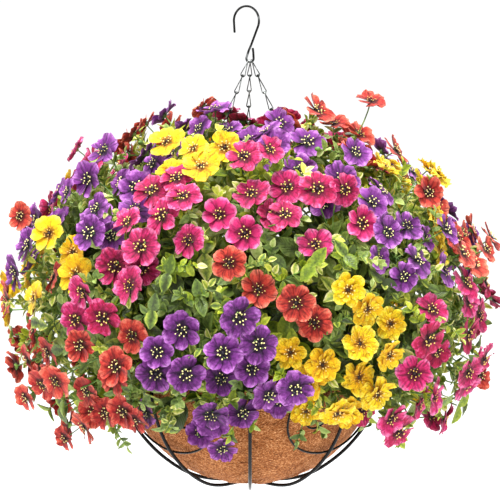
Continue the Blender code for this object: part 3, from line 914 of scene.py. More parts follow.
@dataclass
class SprayForm:
    """One CAD spray as read from its mesh: the main stem's points, its blooms and its pairs of leaves."""

    node: str
    stem: list[Vector] = field(default_factory=list)
    blooms: list[Head] = field(default_factory=list)
    pairs: list[Head] = field(default_factory=list)
    petals: int = 5
    pair_rim: int = 8
    merge: float = 0.01 * MM

    def read(self) -> "SprayForm":
        """Read the spray's parts from a merged copy of the node's mesh.

        Returns:
            The form itself.
        """
        solid = bmesh.new()
        solid.from_mesh(bpy.data.objects[self.node].data)
        bmesh.ops.remove_doubles(solid, verts=solid.verts[:], dist=self.merge)
        near = {vert: {edge.other_vert(vert) for edge in vert.link_edges} for vert in solid.verts}
        rest = set(solid.verts)
        for top, rim in near.items():
            reach = sorted((vert.co - top.co).length for vert in rim)
            for lobes, rim_count, heads in (
                (self.petals, 2 * self.petals, self.blooms),
                (2, self.pair_rim, self.pairs),
            ):
                level = len(rim) == rim_count and reach[-1] - reach[-lobes] < self.merge
                if level and reach[-1] > 1.3 * reach[-lobes - 1]:
                    rest -= self.read_head(top, near, lobes, heads)
        ring = set(sorted(rest, key=lambda vert: vert.co.z)[:3])
        while ring:
            self.stem.append(sum((vert.co for vert in ring), Vector()) / len(ring))
            rest -= ring
            ring = {other for vert in ring for other in near[vert] if other in rest}
        solid.free()
        return self

    def read_head(
        self,
        top: bmesh.types.BMVert,
        near: dict[bmesh.types.BMVert, set[bmesh.types.BMVert]],
        tip_count: int,
        heads: list[Head],
    ) -> set[bmesh.types.BMVert]:
        """Read one head round its top vertex.

        Args:
            top: The vertex in the middle of the head's face.
            near: Each vertex's neighbours.
            tip_count: How many of the rim's vertices are tips.
            heads: The list that the head joins.

        Returns:
            The head's own vertices.
        """
        rim = near[top]
        tips = sorted(rim, key=lambda vert: (vert.co - top.co).length)[-tip_count:]
        lift = sum((vert.co for vert in tips), Vector()) / tip_count - top.co
        facing = lift.normalized()
        level = tips[0].co - top.co
        level -= facing * level.dot(facing)
        neck = {other for vert in rim for other in near[vert]} - rim - {top}
        roots = {other for vert in neck for other in near[vert]} - rim - neck
        root = sum((vert.co for vert in roots), Vector()) / max(1, len(roots))
        heads.append(
            Head(top.co.copy(), facing, level.normalized(), level.length, lift.length / level.length, root)
        )
        return rim | neck | {top}


@dataclass(frozen=True)
class Ball:
    """The outside of the flower ball, as the CAD spreads its blooms."""

    radius: float = 275 * MM
    middle: float = 65 * MM
    rise: float = 212 * MM
    hang_front: float = 172 * MM
    hang_side: float = 234 * MM
    lowest: float = -0.7

    def point(self, azimuth: float, sine: float) -> tuple[Vector, Vector]:
        """Find a point on the ball.

        Args:
            azimuth: Its azimuth in degrees.
            sine: 1 at the crown, 0 at the widest ring and below 0 under it.

        Returns:
            The point and the direction that the ball faces there.
        """
        side = math.sin(math.radians(azimuth)) ** 2
        depth = self.rise if sine > 0 else self.hang_front + (self.hang_side - self.hang_front) * side
        cosine = math.sqrt(1 - sine**2)
        spot = polar(azimuth, self.radius * cosine, RIM_Z + self.middle + depth * sine)
        outward = polar(azimuth, cosine / self.radius, sine / depth).normalized()
        return spot, outward

    def spread(self, count: int, draw: random.Random, turn: float) -> list[tuple[Vector, Vector]]:
        """Spread points evenly over the ball.

        Args:
            count: How many.
            draw: The random draws.
            turn: The first point's azimuth.

        Returns:
            The points with their outward directions.
        """
        spots = []
        for number in range(count):
            sine = 1 - (1 - self.lowest) * (number + draw.random()) / count
            azimuth = turn + number * GOLDEN_ANGLE + draw.uniform(-4, 4)
            spots.append(self.point(azimuth, max(self.lowest, min(0.995, sine))))
        return spots


# Flowers and leaves


@dataclass
class PetalShape:
    """One petal, its length 1 from the flower's middle: rounded, notched at its tip and softly ruffled."""

    columns: int = 4
    rows: int = 5
    root: float = 0.07
    root_width: float = 0.1
    widest: float = 0.395
    widest_at: float = 0.69
    notch: float = 0.05
    thickness: float = 0.02

    def half_width(self, t: float, widest: float) -> float:
        """Half the petal's width at a share of its length.

        Args:
            t: The share of its length, from the root.
            widest: Half its greatest width.

        Returns:
            The half width.
        """
        if t < self.widest_at:
            rise = math.sin(math.pi / 2 * t / self.widest_at) ** 1.2
            return self.root_width + (widest - self.root_width) * rise
        return widest * math.sqrt(1 - ((t - self.widest_at) / 0.43) ** 2)

    def build(self, name: str, draw: random.Random, cup: float, frill: float) -> bpy.types.Object:
        """Model a petal that lies along +Y and faces +Z.

        Args:
            name: The shape's name.
            draw: The random draws.
            cup: How far its tip rises.
            frill: How strongly its edge is ruffled.

        Returns:
            The petal.
        """
        petal = new_primitive(
            bpy.ops.mesh.primitive_grid_add,
            name,
            x_subdivisions=self.columns,
            y_subdivisions=self.rows,
            size=2,
        )
        phase = draw.uniform(0, 2 * math.pi)
        ruffle = frill * draw.uniform(0.7, 1.3)
        fold = draw.uniform(0.03, 0.08)
        curl = draw.uniform(-0.26, 0.1)
        dish = draw.choice((-0.09, 0.07, 0.12))
        widest = self.widest * draw.uniform(0.94, 1.08)

        def place(spot: Vector) -> Vector:
            """Bend the grid's vertex into the petal.

            Args:
                spot: The vertex on the flat grid.

            Returns:
                Its place on the petal.
            """
            u, t = spot.x, (spot.y + 1) / 2
            side = abs(u)
            y = self.root + (1 - self.root) * t - 0.15 * side**2 * t**3 - self.notch * (1 - side) ** 2 * t**6
            z = cup * t**1.6 + curl * t**4 + dish * side**2 * math.sin(math.pi * min(1.0, t * 0.9))
            z += ruffle * math.sin(2.6 * math.pi * u + phase) * t**2 - fold * (1 - side) * t * (1.3 - t)
            return Vector((u * self.half_width(t, widest), y, z))

        reshape(petal, place)
        close_sheet(petal, self.thickness)
        return petal


@dataclass
class Bloom:
    """One daisy of unit radius: six overlapping petals, a button, a ring of stamens and a calyx."""

    petals: int = 6
    stamens: int = 11
    variants: int = 6
    seed: int = 5
    button: float = 0.095
    ring: float = 0.29
    frill: float = 0.06
    shallowest_cup: float = 0.06
    cup_range: float = 0.2
    petal_rolls: tuple[float, float] = (5, 17)
    petal_sizes: tuple[float, float] = (0.93, 1.03)
    petal_step: float = 0.012
    anther_sizes: tuple[float, float] = (0.04, 0.062)
    petal: PetalShape = field(default_factory=PetalShape)

    def build_petals(self) -> list[bpy.types.Object]:
        """Model the rings of petals, each with its own folds.

        Returns:
            The variants, which face +Z.
        """
        draw = random.Random(self.seed)
        rings = []
        for number in range(self.variants):
            cup = self.shallowest_cup + self.cup_range * number / (self.variants - 1)
            shapes = []
            for _ in range(3):
                own_cup = cup + draw.uniform(-0.1, 0.1)
                shapes.append(self.petal.build("petal", draw, own_cup, self.frill))
            parts = []
            for k in range(self.petals):
                roll = Matrix.Rotation(math.radians(draw.uniform(*self.petal_rolls)), 4, "Y")
                turn = Matrix.Rotation(2 * math.pi * k / self.petals + draw.uniform(-0.07, 0.07), 4, "Z")
                size = Matrix.Scale(draw.uniform(*self.petal_sizes), 4)
                rise = Matrix.Translation((0, 0, self.petal_step * (k % 2)))
                parts.append(copy_to(shapes[k % 3], rise @ turn @ roll @ size, 0.0))
            delete(shapes)
            ring = join(parts, f"petal_ring_{number}")
            smooth(ring, 50)
            rings.append(ring)
        return rings

    def build_centre(self, seed: int, ripeness: float) -> bpy.types.Object:
        """Model the button and its ring of stamens.

        Args:
            seed: What its random draws start from.
            ripeness: 1 for full, pale anthers and less for small, dull ones.

        Returns:
            The centre, which faces +Z.
        """
        draw = random.Random(seed)
        button = new_primitive(
            bpy.ops.mesh.primitive_uv_sphere_add,
            "button",
            segments=8,
            ring_count=4,
            radius=self.button,
            scale=(1, 1, 0.75),
            location=(0, 0, 0.035),
        )
        add_tint(button, 0.0)
        filament = new_primitive(
            bpy.ops.mesh.primitive_cone_add, "filament", vertices=3, radius1=0.017, radius2=0.011, depth=1
        )
        add_tint(filament, 0.12)
        anther = new_primitive(
            bpy.ops.mesh.primitive_ico_sphere_add, "anther", subdivisions=1, radius=1, scale=(0.8, 1, 0.7)
        )
        add_tint(anther, 0.12 + 0.74 * ripeness)
        parts = [button]
        for k in range(self.stamens):
            azimuth = 360 * (k + draw.uniform(-0.4, 0.4)) / self.stamens
            foot = polar(azimuth, self.button * 0.7, 0.05)
            spread = draw.uniform(0.45, 0.7) if k % 3 == 0 else draw.uniform(0.8, 1.15)
            tip = polar(azimuth, self.ring * spread, draw.uniform(0.11, 0.22))
            ahead = tip - foot
            turn = ahead.to_track_quat("Z", "Y").to_matrix().to_4x4()
            stretch = Matrix.Diagonal((1, 1, ahead.length, 1))
            parts.append(copy_to(filament, Matrix.Translation((foot + tip) / 2) @ turn @ stretch))
            level = Vector((ahead.x, ahead.y, 0.03))
            size = draw.uniform(*self.anther_sizes) * ripeness
            parts.append(copy_to(anther, frame_at(tip, level, UP, size)))
        delete([filament, anther])
        centre = join(parts, "flower_centre")
        centre.data.shade_smooth()
        return centre

    def build_calyx(self, material: bpy.types.Material) -> bpy.types.Object:
        """Model the calyx: a small cup drawn out into sepals under the petals.

        Args:
            material: The stem's plastic.

        Returns:
            The calyx, which faces +Z.
        """
        calyx = new_primitive(
            bpy.ops.mesh.primitive_cone_add,
            "calyx",
            vertices=8,
            radius1=0.06,
            radius2=0.2,
            depth=0.13,
            location=(0, 0, -0.075),
        )

        def draw_out(spot: Vector) -> Vector:
            """Draw every second corner of the cup's edge out into a sepal.

            Args:
                spot: The vertex on the plain cup.

            Returns:
                Its place on the calyx.
            """
            turn = math.degrees(math.atan2(spot.y, spot.x)) % 90
            if spot.z > -0.05 and (turn < 20 or turn > 70):
                return Vector((spot.x * 1.5, spot.y * 1.5, spot.z + 0.035))
            return spot

        reshape(calyx, draw_out)
        set_only(calyx, material)
        calyx.data.shade_smooth()
        return calyx


@dataclass
class LeafShape:
    """One leaf of unit length along +Y: round-ovate, folded along its midrib and bent back."""

    columns: int = 2
    rows: int = 4
    half_width: float = 0.31
    thickness: float = 0.03

    def build(self, name: str, fold: float, droop: float) -> bpy.types.Object:
        """Model the leaf with a face above and one below that meet along its outline.

        Args:
            name: The shape's name.
            fold: How far its edges stand above its midrib.
            droop: How far its tip bends back.

        Returns:
            The leaf, which faces +Z.
        """
        leaf = new_primitive(
            bpy.ops.mesh.primitive_grid_add,
            name,
            x_subdivisions=self.columns,
            y_subdivisions=self.rows,
            size=2,
        )

        def place(spot: Vector) -> Vector:
            """Bend the grid's vertex into the leaf.

            Args:
                spot: The vertex on the flat grid.

            Returns:
                Its place on the leaf.
            """
            t = (spot.y + 1) / 2
            half = self.half_width * max(0.1, math.sin(math.pi * (0.04 + 0.93 * t) ** 0.86)) ** 0.75
            z = fold * abs(spot.x) * half + 0.1 * t - droop * t**2
            return Vector((spot.x * half, t - 0.04 * abs(spot.x) * t, z))

        reshape(leaf, place)
        close_sheet(leaf, self.thickness)
        return leaf


# Sprays


@dataclass
class Greenery:
    """All that grows on one spray beside its flowers: runs of stem and places of leaves and buds."""

    runs: list[Run] = field(default_factory=list)
    leaves: list[tuple[Matrix, float]] = field(default_factory=list)
    buds: list[Matrix] = field(default_factory=list)


@dataclass(frozen=True)
class TwigLayer:
    """Twigs whose tips lie at like depths: how many, the first azimuth, depths, leaf length, least tint."""

    count: int
    turn: float
    depths_mm: tuple[float, float]
    leaf: float
    tint: float


@dataclass
class Planting:
    """The forty sprays: flowers where the CAD has them, some more beside those, and foliage between them."""

    stem_radius: float = 2.1 * MM
    branch_radius: float = 0.85 * MM
    twig_radius: float = 0.55 * MM
    deep_leaf: float = 27 * MM
    branch_leaf: float = 14 * MM
    stem_pairs_apart: float = 9 * MM
    branch_pairs_apart: float = 10 * MM
    flank_pairs_apart: float = 16 * MM
    layers: tuple[TwigLayer, ...] = (
        TwigLayer(900, 40, (6, 34), 12.5 * MM, 0.27),
        TwigLayer(380, 170, (34, 80), deep_leaf, 0.16),
        TwigLayer(260, 95, (-15, 4), 11 * MM, 0.25),
    )
    shortest_twig: float = 14 * MM
    # Leaves of a kind grow in patches about 70 mm wide
    patches_per_metre: float = 14
    overhang_azimuth: float = -25.0
    overhang_reach: float = 188 * MM
    overhang_drop: float = 14 * MM
    overhang_half: float = 18 * MM
    overhang_room: float = 24 * MM
    # Each leaf over the rim: its lean, its length in mm and its tint
    overhang_leaves: tuple[tuple[float, float, float], ...] = (
        (-0.8, 32, 0.45),
        (0.5, 31, 0.2),
        (-0.1, 42, -0.1),
        (0.15, 30, -0.05),
    )
    bud_count: int = 70
    bud_mm: tuple[float, float] = (5, 8)
    leaf_sizes: tuple[float, float] = (0.78, 1.15)
    tip_leaf: float = 0.9
    pairs_apart: float = 0.55
    bloom_sizes: tuple[float, float] = (1.02, 1.1)
    patch_edge: float = 0.3
    bloom_room: float = 32 * MM
    bloom_under: float = 2.5 * MM
    bloom_over: float = 24 * MM
    bloom_width: float = 0.95
    # A head's least, greatest and usual lean, in degrees
    head_lean: tuple[float, float, float] = (0, 30, 9)
    least_blooms: int = 3
    flank_top: float = 70 * MM
    flank_x: float = 165 * MM
    bare_share: float = 0.4
    open_share: float = 0.72
    shoulder_x: float = 212 * MM
    # Flowers and leaves near the crown are painted paler: painted light from above
    crown_from: float = 90 * MM
    crown_full: float = 190 * MM
    crown_light_petals: float = 0.35
    crown_light_leaves: float = 0.26
    flank_leaves: float = 0.16
    glade_leaves: float = -0.15
    deepest_cup: float = 0.27
    nod_down: float = 0.6
    nod_up: float = 1.1
    free_hang: float = 18 * MM
    free_before: float = -100 * MM
    free_left: float = 20 * MM
    free_right: float = 150 * MM
    short_hang: float = 0.35
    side_bloom_above: float = 110 * MM
    side_bloom_share: float = 0.55
    side_bloom_room: float = 27 * MM
    side_bloom_away_mm: float = 30
    side_bloom_sunk_mm: tuple[float, float] = (2, 9)
    side_bloom_size: tuple[float, float] = (0.78, 0.92)
    side_bloom_lean: float = 0.4
    side_bloom_ways: int = 8
    glade_before: float = -150 * MM
    # Each opening's left, right, lowest and highest, in mm
    glades: tuple[tuple[float, float, float, float], ...] = (
        (-112, -46, -304, -256),
        (12, 108, -254, -240),
        (134, 160, -301, -272),
    )
    stray_reach: float = 17 * MM
    stray_cup: float = 0.16
    # Each single flower's colour, place in mm and facing
    strays: tuple[tuple[FlowerColour, tuple[float, float, float], tuple[float, float, float]], ...] = (
        (FlowerColour.FUCHSIA, (-196, -10, -159), (-0.9, -0.1, 0.5)),
        (FlowerColour.RED, (-258, -30, -232), (-0.6, -0.8, 0.2)),
        (FlowerColour.RED, (136, -10, -104), (0.35, -0.15, 0.9)),
        (FlowerColour.RED, (-211, -30, -488), (-0.8, -0.4, -0.3)),
        (FlowerColour.RED, (-257, -10, -445), (-0.8, -0.6, 0.1)),
        (FlowerColour.RED, (262, -20, -418), (0.8, -0.6, 0.2)),
        (FlowerColour.FUCHSIA, (207, -30, -463), (0.5, -0.6, 0.4)),
        (FlowerColour.PURPLE, (-54, -170, -449), (-0.1, -0.95, 0.15)),
        (FlowerColour.PURPLE, (-112, -158, -430), (-0.5, -0.75, -0.2)),
        (FlowerColour.PURPLE, (-30, -166, -468), (0.2, -0.75, -0.5)),
    )
    seed: int = 23
    ball: Ball = field(default_factory=Ball)
    bloom: Bloom = field(default_factory=Bloom)
    frilled: Bloom = field(
        default_factory=lambda: Bloom(seed=6, frill=0.085, petal=PetalShape(widest=0.36))
    )
    frilled_beyond: float = -10 * MM
    # The smaller ring of petals inside a double flower, turned by half a petal
    inner_ring: Matrix = field(
        default_factory=lambda: Matrix.Translation((0, 0, 0.05))
        @ Matrix.Rotation(math.pi / 6, 4, "Z")
        @ Matrix.Scale(0.68, 4)
    )

    def build(self) -> None:
        """Build every spray's petals, centres, leaves and stems, and dress them."""
        self.draw = random.Random(self.seed)
        self.stem_plastic = STEM_PLASTIC.material()
        self.forms = [
            SprayForm(name).read() for name in sorted(frame["nodes"]) if name.startswith("spray_")
        ]
        for form in self.forms:
            for head in form.blooms:
                head.nod(self.nod_down, self.nod_up)
                self.draw_up(head)
        self.thin_flanks()
        self.add_side_blooms()
        self.add_strays()
        self.heads = [head for form in self.forms for head in form.blooms]
        pair_count = sum(len(form.pairs) for form in self.forms)
        LOG.info("%d blooms and %d pairs of leaves", len(self.heads), pair_count)
        for head in self.heads:
            head.lean(self.draw.triangular(*self.head_lean), self.draw.uniform(0, 2 * math.pi))
        self.seats = search_tree([head.seat for head in self.heads])
        self.growth = [Greenery() for _ in self.forms]
        self.joints: list[tuple[Vector, int]] = []
        for number, form in enumerate(self.forms):
            self.grow_frame(number, form)
        self.grow_twigs()
        self.grow_overhang()
        self.build_sprays()

    def draw_up(self, head: Head) -> None:
        """Draw up a flower that hangs low on the right of the front, where more of the liner shows.

        Args:
            head: The flower's head.
        """
        excess = RIM_Z - self.free_hang - head.seat.z
        if excess > 0 and head.seat.y < self.free_before and self.free_left < head.seat.x < self.free_right:
            head.seat.z += excess * (1 - self.short_hang)

    def is_flank(self, spot: Vector) -> bool:
        """Tell whether a point lies low on the ball's left or right, where the sprays part."""
        return spot.z < RIM_Z + self.flank_top and abs(spot.x) > self.flank_x

    def is_glade(self, spot: Vector) -> bool:
        """Tell whether a point lies in an opening of the front where only foliage shows.

        Args:
            spot: The point.

        Returns:
            True where it does.
        """
        return spot.y < self.glade_before and any(
            left < spot.x / MM < right and low < spot.z / MM < high for left, right, low, high in self.glades
        )

    def thin_flanks(self) -> None:
        """Let branches end in leaves: all in the front's openings, and some low on the left and right."""
        for form in self.forms:
            for head in list(form.blooms):
                thinned = len(form.blooms) > self.least_blooms and self.is_flank(head.seat)
                bare = thinned and self.draw.random() < self.bare_share
                if bare or self.is_glade(head.seat):
                    form.blooms.remove(head)
                    form.pairs.append(head)
        self.clear_overhang()

    def clear_overhang(self) -> None:
        """Take away the flowers that would hide the broad leaves over the rim."""
        middle = RIM_Z - self.overhang_drop - self.overhang_half
        spot = polar(self.overhang_azimuth, self.overhang_reach, middle)
        for form in self.forms:
            for head in list(form.blooms):
                away = head.seat - spot
                if head.seat.y < 0 and max(abs(away.x), abs(away.z)) < self.overhang_room:
                    form.blooms.remove(head)

    def add_side_blooms(self) -> None:
        """Give flowers high on the ball a smaller one beside them, on the same branch, where it fits."""
        seats = [head.seat for form in self.forms for head in form.blooms]
        for form in self.forms:
            for head in list(form.blooms):
                low = head.seat.z < RIM_Z + self.side_bloom_above
                if low or self.draw.random() > self.side_bloom_share:
                    continue
                start = self.draw.uniform(0, 360)
                ways, spots = [], []
                for k in range(self.side_bloom_ways):
                    turn = math.radians(start + 360 / self.side_bloom_ways * k)
                    ways.append(Matrix.Rotation(turn, 3, head.facing) @ head.spoke)
                    sunk = head.facing * self.draw.uniform(*self.side_bloom_sunk_mm) * MM
                    spots.append(head.seat + ways[k] * self.side_bloom_away_mm * MM - sunk)
                rooms = [min((spot - seat).length for seat in seats) for spot in spots]
                best = rooms.index(max(rooms))
                if rooms[best] < self.side_bloom_room or self.is_glade(spots[best]):
                    continue
                facing = (head.facing + ways[best] * self.side_bloom_lean).normalized()
                spoke = facing.orthogonal().normalized()
                reach = head.reach * self.draw.uniform(*self.side_bloom_size)
                form.blooms.append(Head(spots[best], facing, spoke, reach, head.cup, head.root))
                seats.append(spots[best])
        LOG.info("%d flowers with those beside the CAD's", len(seats))

    def add_strays(self) -> None:
        """Add the single flowers that stand out from the ball, each from the nearest branch of its colour."""
        for colour, seat, facing in self.strays:
            spot = Vector(seat) * MM
            out = Vector(facing).normalized()
            own = [form for form in self.forms if form.node.endswith(colour.value)]
            form = min(own, key=lambda form: min((head.seat - spot).length for head in form.blooms))
            near = min(form.blooms, key=lambda head: (head.seat - spot).length)
            LOG.info("stray %s: %d mm from its branch", colour.value, (spot - near.root).length / MM)
            spoke = out.orthogonal().normalized()
            form.blooms.append(Head(spot, out, spoke, self.stray_reach, self.stray_cup, near.root))

    def top_light_share(self, spot: Vector) -> float:
        """Tell how near a point is to the crown, where petals and leaves get painted light from above.

        Args:
            spot: The point.

        Returns:
            0 below the crown, 1 on it, and between them in between.
        """
        share = (spot.z - RIM_Z - self.crown_from) / (self.crown_full - self.crown_from)
        return max(0.0, min(1.0, share))

    def leaf_paleness(self, spot: Vector) -> float:
        """Find what is added to a leaf's tint: more toward the crown as painted light from above, more toward
        the flanks, less in the openings.

        Args:
            spot: Where the leaf grows.

        Returns:
            The number to add.
        """
        if self.is_glade(spot):
            return self.glade_leaves
        flank = max(0.0, min(1.0, (abs(spot.x) - 0.7 * self.flank_x) / (0.5 * self.flank_x)))
        return max(self.crown_light_leaves * self.top_light_share(spot), self.flank_leaves * flank)

    def is_clear(self, place: Matrix) -> bool:
        """Tell whether a leaf neither crosses nor covers a bloom's petals.

        Args:
            place: The leaf's place.

        Returns:
            True where it is clear of them all.
        """
        return all(self.is_free(place @ Vector((0, share, 0))) for share in (0.0, 0.5, 1.0))

    def is_free(self, spot: Vector) -> bool:
        """Tell whether a point lies neither in nor just over a bloom's petals.

        Args:
            spot: The point.

        Returns:
            True where it is free.
        """
        for _, index, _ in self.seats.find_range(spot, self.bloom_room):
            head = self.heads[index]
            reach = spot - head.seat
            height = reach.dot(head.facing)
            level = (reach - head.facing * height).length
            if -self.bloom_under < height < self.bloom_over and level < self.bloom_width * head.reach:
                return False
        return True

    def grow_frame(self, number: int, form: SprayForm) -> None:
        """Grow the main stem and the branches of a spray, with their leaves.

        Args:
            number: The spray's place in the list.
            form: What the CAD says about it.
        """
        growth = self.growth[number]
        main = rounded(form.stem[1:4] + form.stem[4::2], 5)
        radii = [self.stem_radius * (1 - 0.5 * k / len(main)) for k in range(len(main))]
        growth.runs.append(Run([form.stem[0], *main], [self.stem_radius, *radii]))
        self.joints += [(spot, number) for spot in main[6:]]
        self.add_pairs(growth, main[4:], self.stem_pairs_apart, self.deep_leaf, 0.0)
        for head in form.blooms + form.pairs:
            base = head.base()
            length = (base - head.root).length
            pull = base - head.facing * 0.4 * length
            path = quadratic(head.root, pull, base, 6)
            growth.runs.append(Run.even(path, self.branch_radius))
            self.joints += [(spot, number) for spot in path[1:-2]]
            apart = self.flank_pairs_apart if self.is_flank(base) else self.branch_pairs_apart
            self.add_pairs(growth, path[1:6], apart, self.branch_leaf, 0.2)
        for head in form.pairs:
            darker = min(0.0, self.leaf_paleness(head.seat))
            for side in (1, -1):
                ahead = head.spoke * side + head.facing * head.cup
                place = frame_at(head.seat - head.spoke * side * MM, ahead, head.facing, head.reach * 1.1)
                growth.leaves.append((place, self.draw.uniform(0.2, 0.6) + darker))

    def add_pairs(self, growth: Greenery, path: list[Vector], apart: float, size: float, tint: float) -> None:
        """Set pairs of leaves along a path, each pair turned from the one before.

        Args:
            growth: The spray's greenery.
            path: The path's points.
            apart: The distance between pairs.
            size: The leaves' length.
            tint: The least number for their material; more gives a paler edge.
        """
        due = apart * self.draw.random()
        turn = self.draw.uniform(0, math.pi)
        for start, end in zip(path, path[1:]):
            stretch = end - start
            while due < stretch.length:
                spot = start + stretch.normalized() * due
                self.add_pair(growth, spot, stretch.normalized(), turn, size, tint)
                turn += math.pi / 2 + self.draw.uniform(-0.5, 0.5)
                due += apart
            due -= stretch.length

    def add_pair(
        self, growth: Greenery, spot: Vector, along: Vector, turn: float, size: float, tint: float
    ) -> None:
        """Set one pair of leaves.

        Args:
            growth: The spray's greenery.
            spot: Where they grow.
            along: The stem's direction there.
            turn: The pair's turn about the stem.
            size: The leaves' length.
            tint: The least number for their material.
        """
        draw = self.draw
        outward = Vector((spot.x, spot.y, 0.9 * (spot.z - RIM_Z))).normalized()
        across = Matrix.Rotation(turn, 3, along) @ along.orthogonal().normalized()
        for side in (1, -1):
            ahead = across * side + along * draw.uniform(0.3, 0.9) + outward * 0.25
            normal = outward + along * 0.3 + Vector([draw.uniform(-0.6, 0.6) for _ in range(3)])
            place = frame_at(spot, ahead, normal, size * draw.uniform(*self.leaf_sizes))
            growth.leaves.append((place, tint + draw.uniform(0, 0.5) ** 1.2 + self.leaf_paleness(spot)))

    def grow_twigs(self) -> None:
        """Fill the ball with leafy twigs, each from the nearest stem or branch to its own place."""
        tree = search_tree([spot for spot, _ in self.joints])
        spreads = [self.ball.spread(layer.count, self.draw, layer.turn) for layer in self.layers]
        targets = [
            (spot, outward, self.draw.uniform(*layer.depths_mm) * MM, layer.leaf, layer.tint)
            for layer, spread in zip(self.layers, spreads)
            for spot, outward in spread
        ]
        for index, (spot, outward, depth, size, tint) in enumerate(targets):
            tip = spot - outward * depth
            open_here = self.is_flank(tip) or abs(tip.x) > self.shoulder_x
            if open_here and self.draw.random() < self.open_share:
                continue
            near = [self.joints[k] for _, k, far in tree.find_n(tip, 14) if far > self.shortest_twig]
            if not near:
                continue
            root, number = near[0]
            length = (tip - root).length
            growth = self.growth[number]
            jitter = Vector([self.draw.uniform(-0.15, 0.15) for _ in range(3)]) * length
            path = quadratic(root, root + outward * 0.45 * length + jitter, tip, 5)
            if not all(self.is_free(point) for point in path[1:]):
                continue
            growth.runs.append(Run.even(path, self.twig_radius))
            self.add_pairs(growth, path[1:], size * self.pairs_apart, size, tint)
            along = (path[-1] - path[-2]).normalized()
            if index < self.bud_count:
                length = self.draw.uniform(*self.bud_mm) * MM
                growth.buds.append(frame_at(tip, along, outward.orthogonal(), length))
            else:
                place = frame_at(tip, along, outward + along * 0.2, size * self.tip_leaf)
                growth.leaves.append((place, tint + self.draw.uniform(0.1, 0.5) + self.leaf_paleness(tip)))

    def grow_overhang(self) -> None:
        """Grow the broad leaves that hang over the rim on the left of the front."""
        spot = polar(self.overhang_azimuth, self.overhang_reach, RIM_Z - self.overhang_drop)
        outward = polar(self.overhang_azimuth, 1, 0)
        root, number = min(self.joints, key=lambda joint: (joint[0] - spot).length)
        path = quadratic(root, spot + (outward + UP) * 8 * MM, spot, 5)
        growth = self.growth[number]
        growth.runs.append(Run.even(path, self.branch_radius))
        across = UP.cross(outward)
        for lean, length, tint in self.overhang_leaves:
            ahead = across * lean - UP - outward * 0.15
            place = frame_at(spot, ahead, outward, length * MM) @ Matrix.Diagonal((1.2, 1, 1, 1))
            growth.leaves.append((place, tint))

    def build_bud(self) -> bpy.types.Object:
        """Model a closed bud of unit length along +Y.

        Returns:
            The bud.
        """
        bud = new_primitive(
            bpy.ops.mesh.primitive_uv_sphere_add,
            "bud",
            segments=7,
            ring_count=6,
            radius=0.5,
            rotation=(-math.pi / 2, 0, 0),
        )

        def taper(spot: Vector) -> Vector:
            """Narrow the ball towards its tip, and set its foot near the origin.

            Args:
                spot: The vertex on the ball.

            Returns:
                Its place on the bud.
            """
            width = 0.8 - 0.35 * spot.y
            return Vector((spot.x * width, spot.y + 0.45, spot.z * width))

        reshape(bud, taper)
        set_only(bud, self.stem_plastic)
        bud.data.shade_smooth()
        return bud

    def build_leaves(self) -> list[tuple[float, list[bpy.types.Object]]]:
        """Model the leaves: each kind of film in three shapes.

        Returns:
            Each kind's highest noise level and its shapes.
        """
        made = []
        for level, film in LEAF_FILMS:
            material = film.material()
            bends = ((0.35, 0.18), (0.2, 0.32), (0.55, 0.1))
            shapes = [LeafShape().build("leaf", fold, droop) for fold, droop in bends]
            for shape in shapes:
                set_only(shape, material)
                shape.data.shade_smooth()
            made.append((level, shapes))
        return made

    def pick_leaf(
        self, leaves: list[tuple[float, list[bpy.types.Object]]], place: Matrix, tint: float
    ) -> bpy.types.Object:
        """Pick a leaf of the kind that grows at a place.

        Args:
            leaves: Each kind's highest noise level and its shapes.
            place: The leaf's place.
            tint: The number for its material; one below 0 is always of the deep green kind.

        Returns:
            The shape.
        """
        level = -1.0
        if tint >= 0:
            level = noise.noise(place.translation * self.patches_per_metre)
            level += self.draw.uniform(-self.patch_edge, self.patch_edge)
        return self.draw.choice(next(shapes for highest, shapes in leaves if level < highest))

    def build_sprays(self) -> None:
        """Copy the flowers, leaves and buds to their places, spray by spray."""
        rings = self.bloom.build_petals()
        frilled = self.frilled.build_petals()
        ripe = ((6, 1.0), (7, 0.95), (8, 0.9), (9, 0.7))
        centre_shapes = [self.bloom.build_centre(seed, ripeness) for seed, ripeness in ripe]
        calyx = self.bloom.build_calyx(self.stem_plastic)
        bud = self.build_bud()
        leaves = self.build_leaves()
        cloths = {colour: cloth.material() for colour, cloth in PETAL_CLOTHS.items()}
        stamens = {colour: paint.material() for colour, paint in STAMEN_PAINTS.items()}
        for form, growth in zip(self.forms, self.growth):
            colour = FlowerColour(form.node.rsplit("_", 1)[1])
            petals, centres, green = [], [], []
            for head in form.blooms:
                size = head.reach * self.draw.uniform(*self.bloom_sizes)
                place = frame_at(head.seat, head.spoke, head.facing, size)
                ring = min(len(rings) - 1, int(head.cup / self.deepest_cup * len(rings)))
                # Painted light from above: flowers near the crown are paler
                pale = self.crown_light_petals * self.top_light_share(head.seat)
                if colour is FlowerColour.YELLOW and head.seat.x > self.frilled_beyond:
                    petals.append(copy_to(frilled[ring], place, self.draw.random() + pale))
                    petals.append(copy_to(frilled[-1], place @ self.inner_ring, self.draw.random() + pale))
                else:
                    petals.append(copy_to(rings[ring], place, self.draw.random() + pale))
                spin = Matrix.Rotation(self.draw.uniform(0, 2 * math.pi), 4, "Z")
                centres.append(copy_to(self.draw.choice(centre_shapes), place @ spin))
                green.append(copy_to(calyx, place))
            made = join(petals, f"{form.node}_petals")
            set_only(made, cloths[colour])
            dress(made, f"petals_{colour.value}", form.node)
            made = join(centres, f"{form.node}_centres")
            set_only(made, stamens[colour])
            dress(made, f"petals_{colour.value}", form.node)
            clear = [(place, tint) for place, tint in growth.leaves if self.is_clear(place)]
            tufts = [copy_to(self.pick_leaf(leaves, place, tint), place, tint) for place, tint in clear]
            dress(join(tufts, f"{form.node}_leaves"), "foliage", form.node)
            green += [copy_to(bud, place) for place in growth.buds]
            stems = make_tubes("stems", growth.runs, 0, self.stem_plastic)
            dress(join([stems, *green], f"{form.node}_stems"), "foliage", form.node)
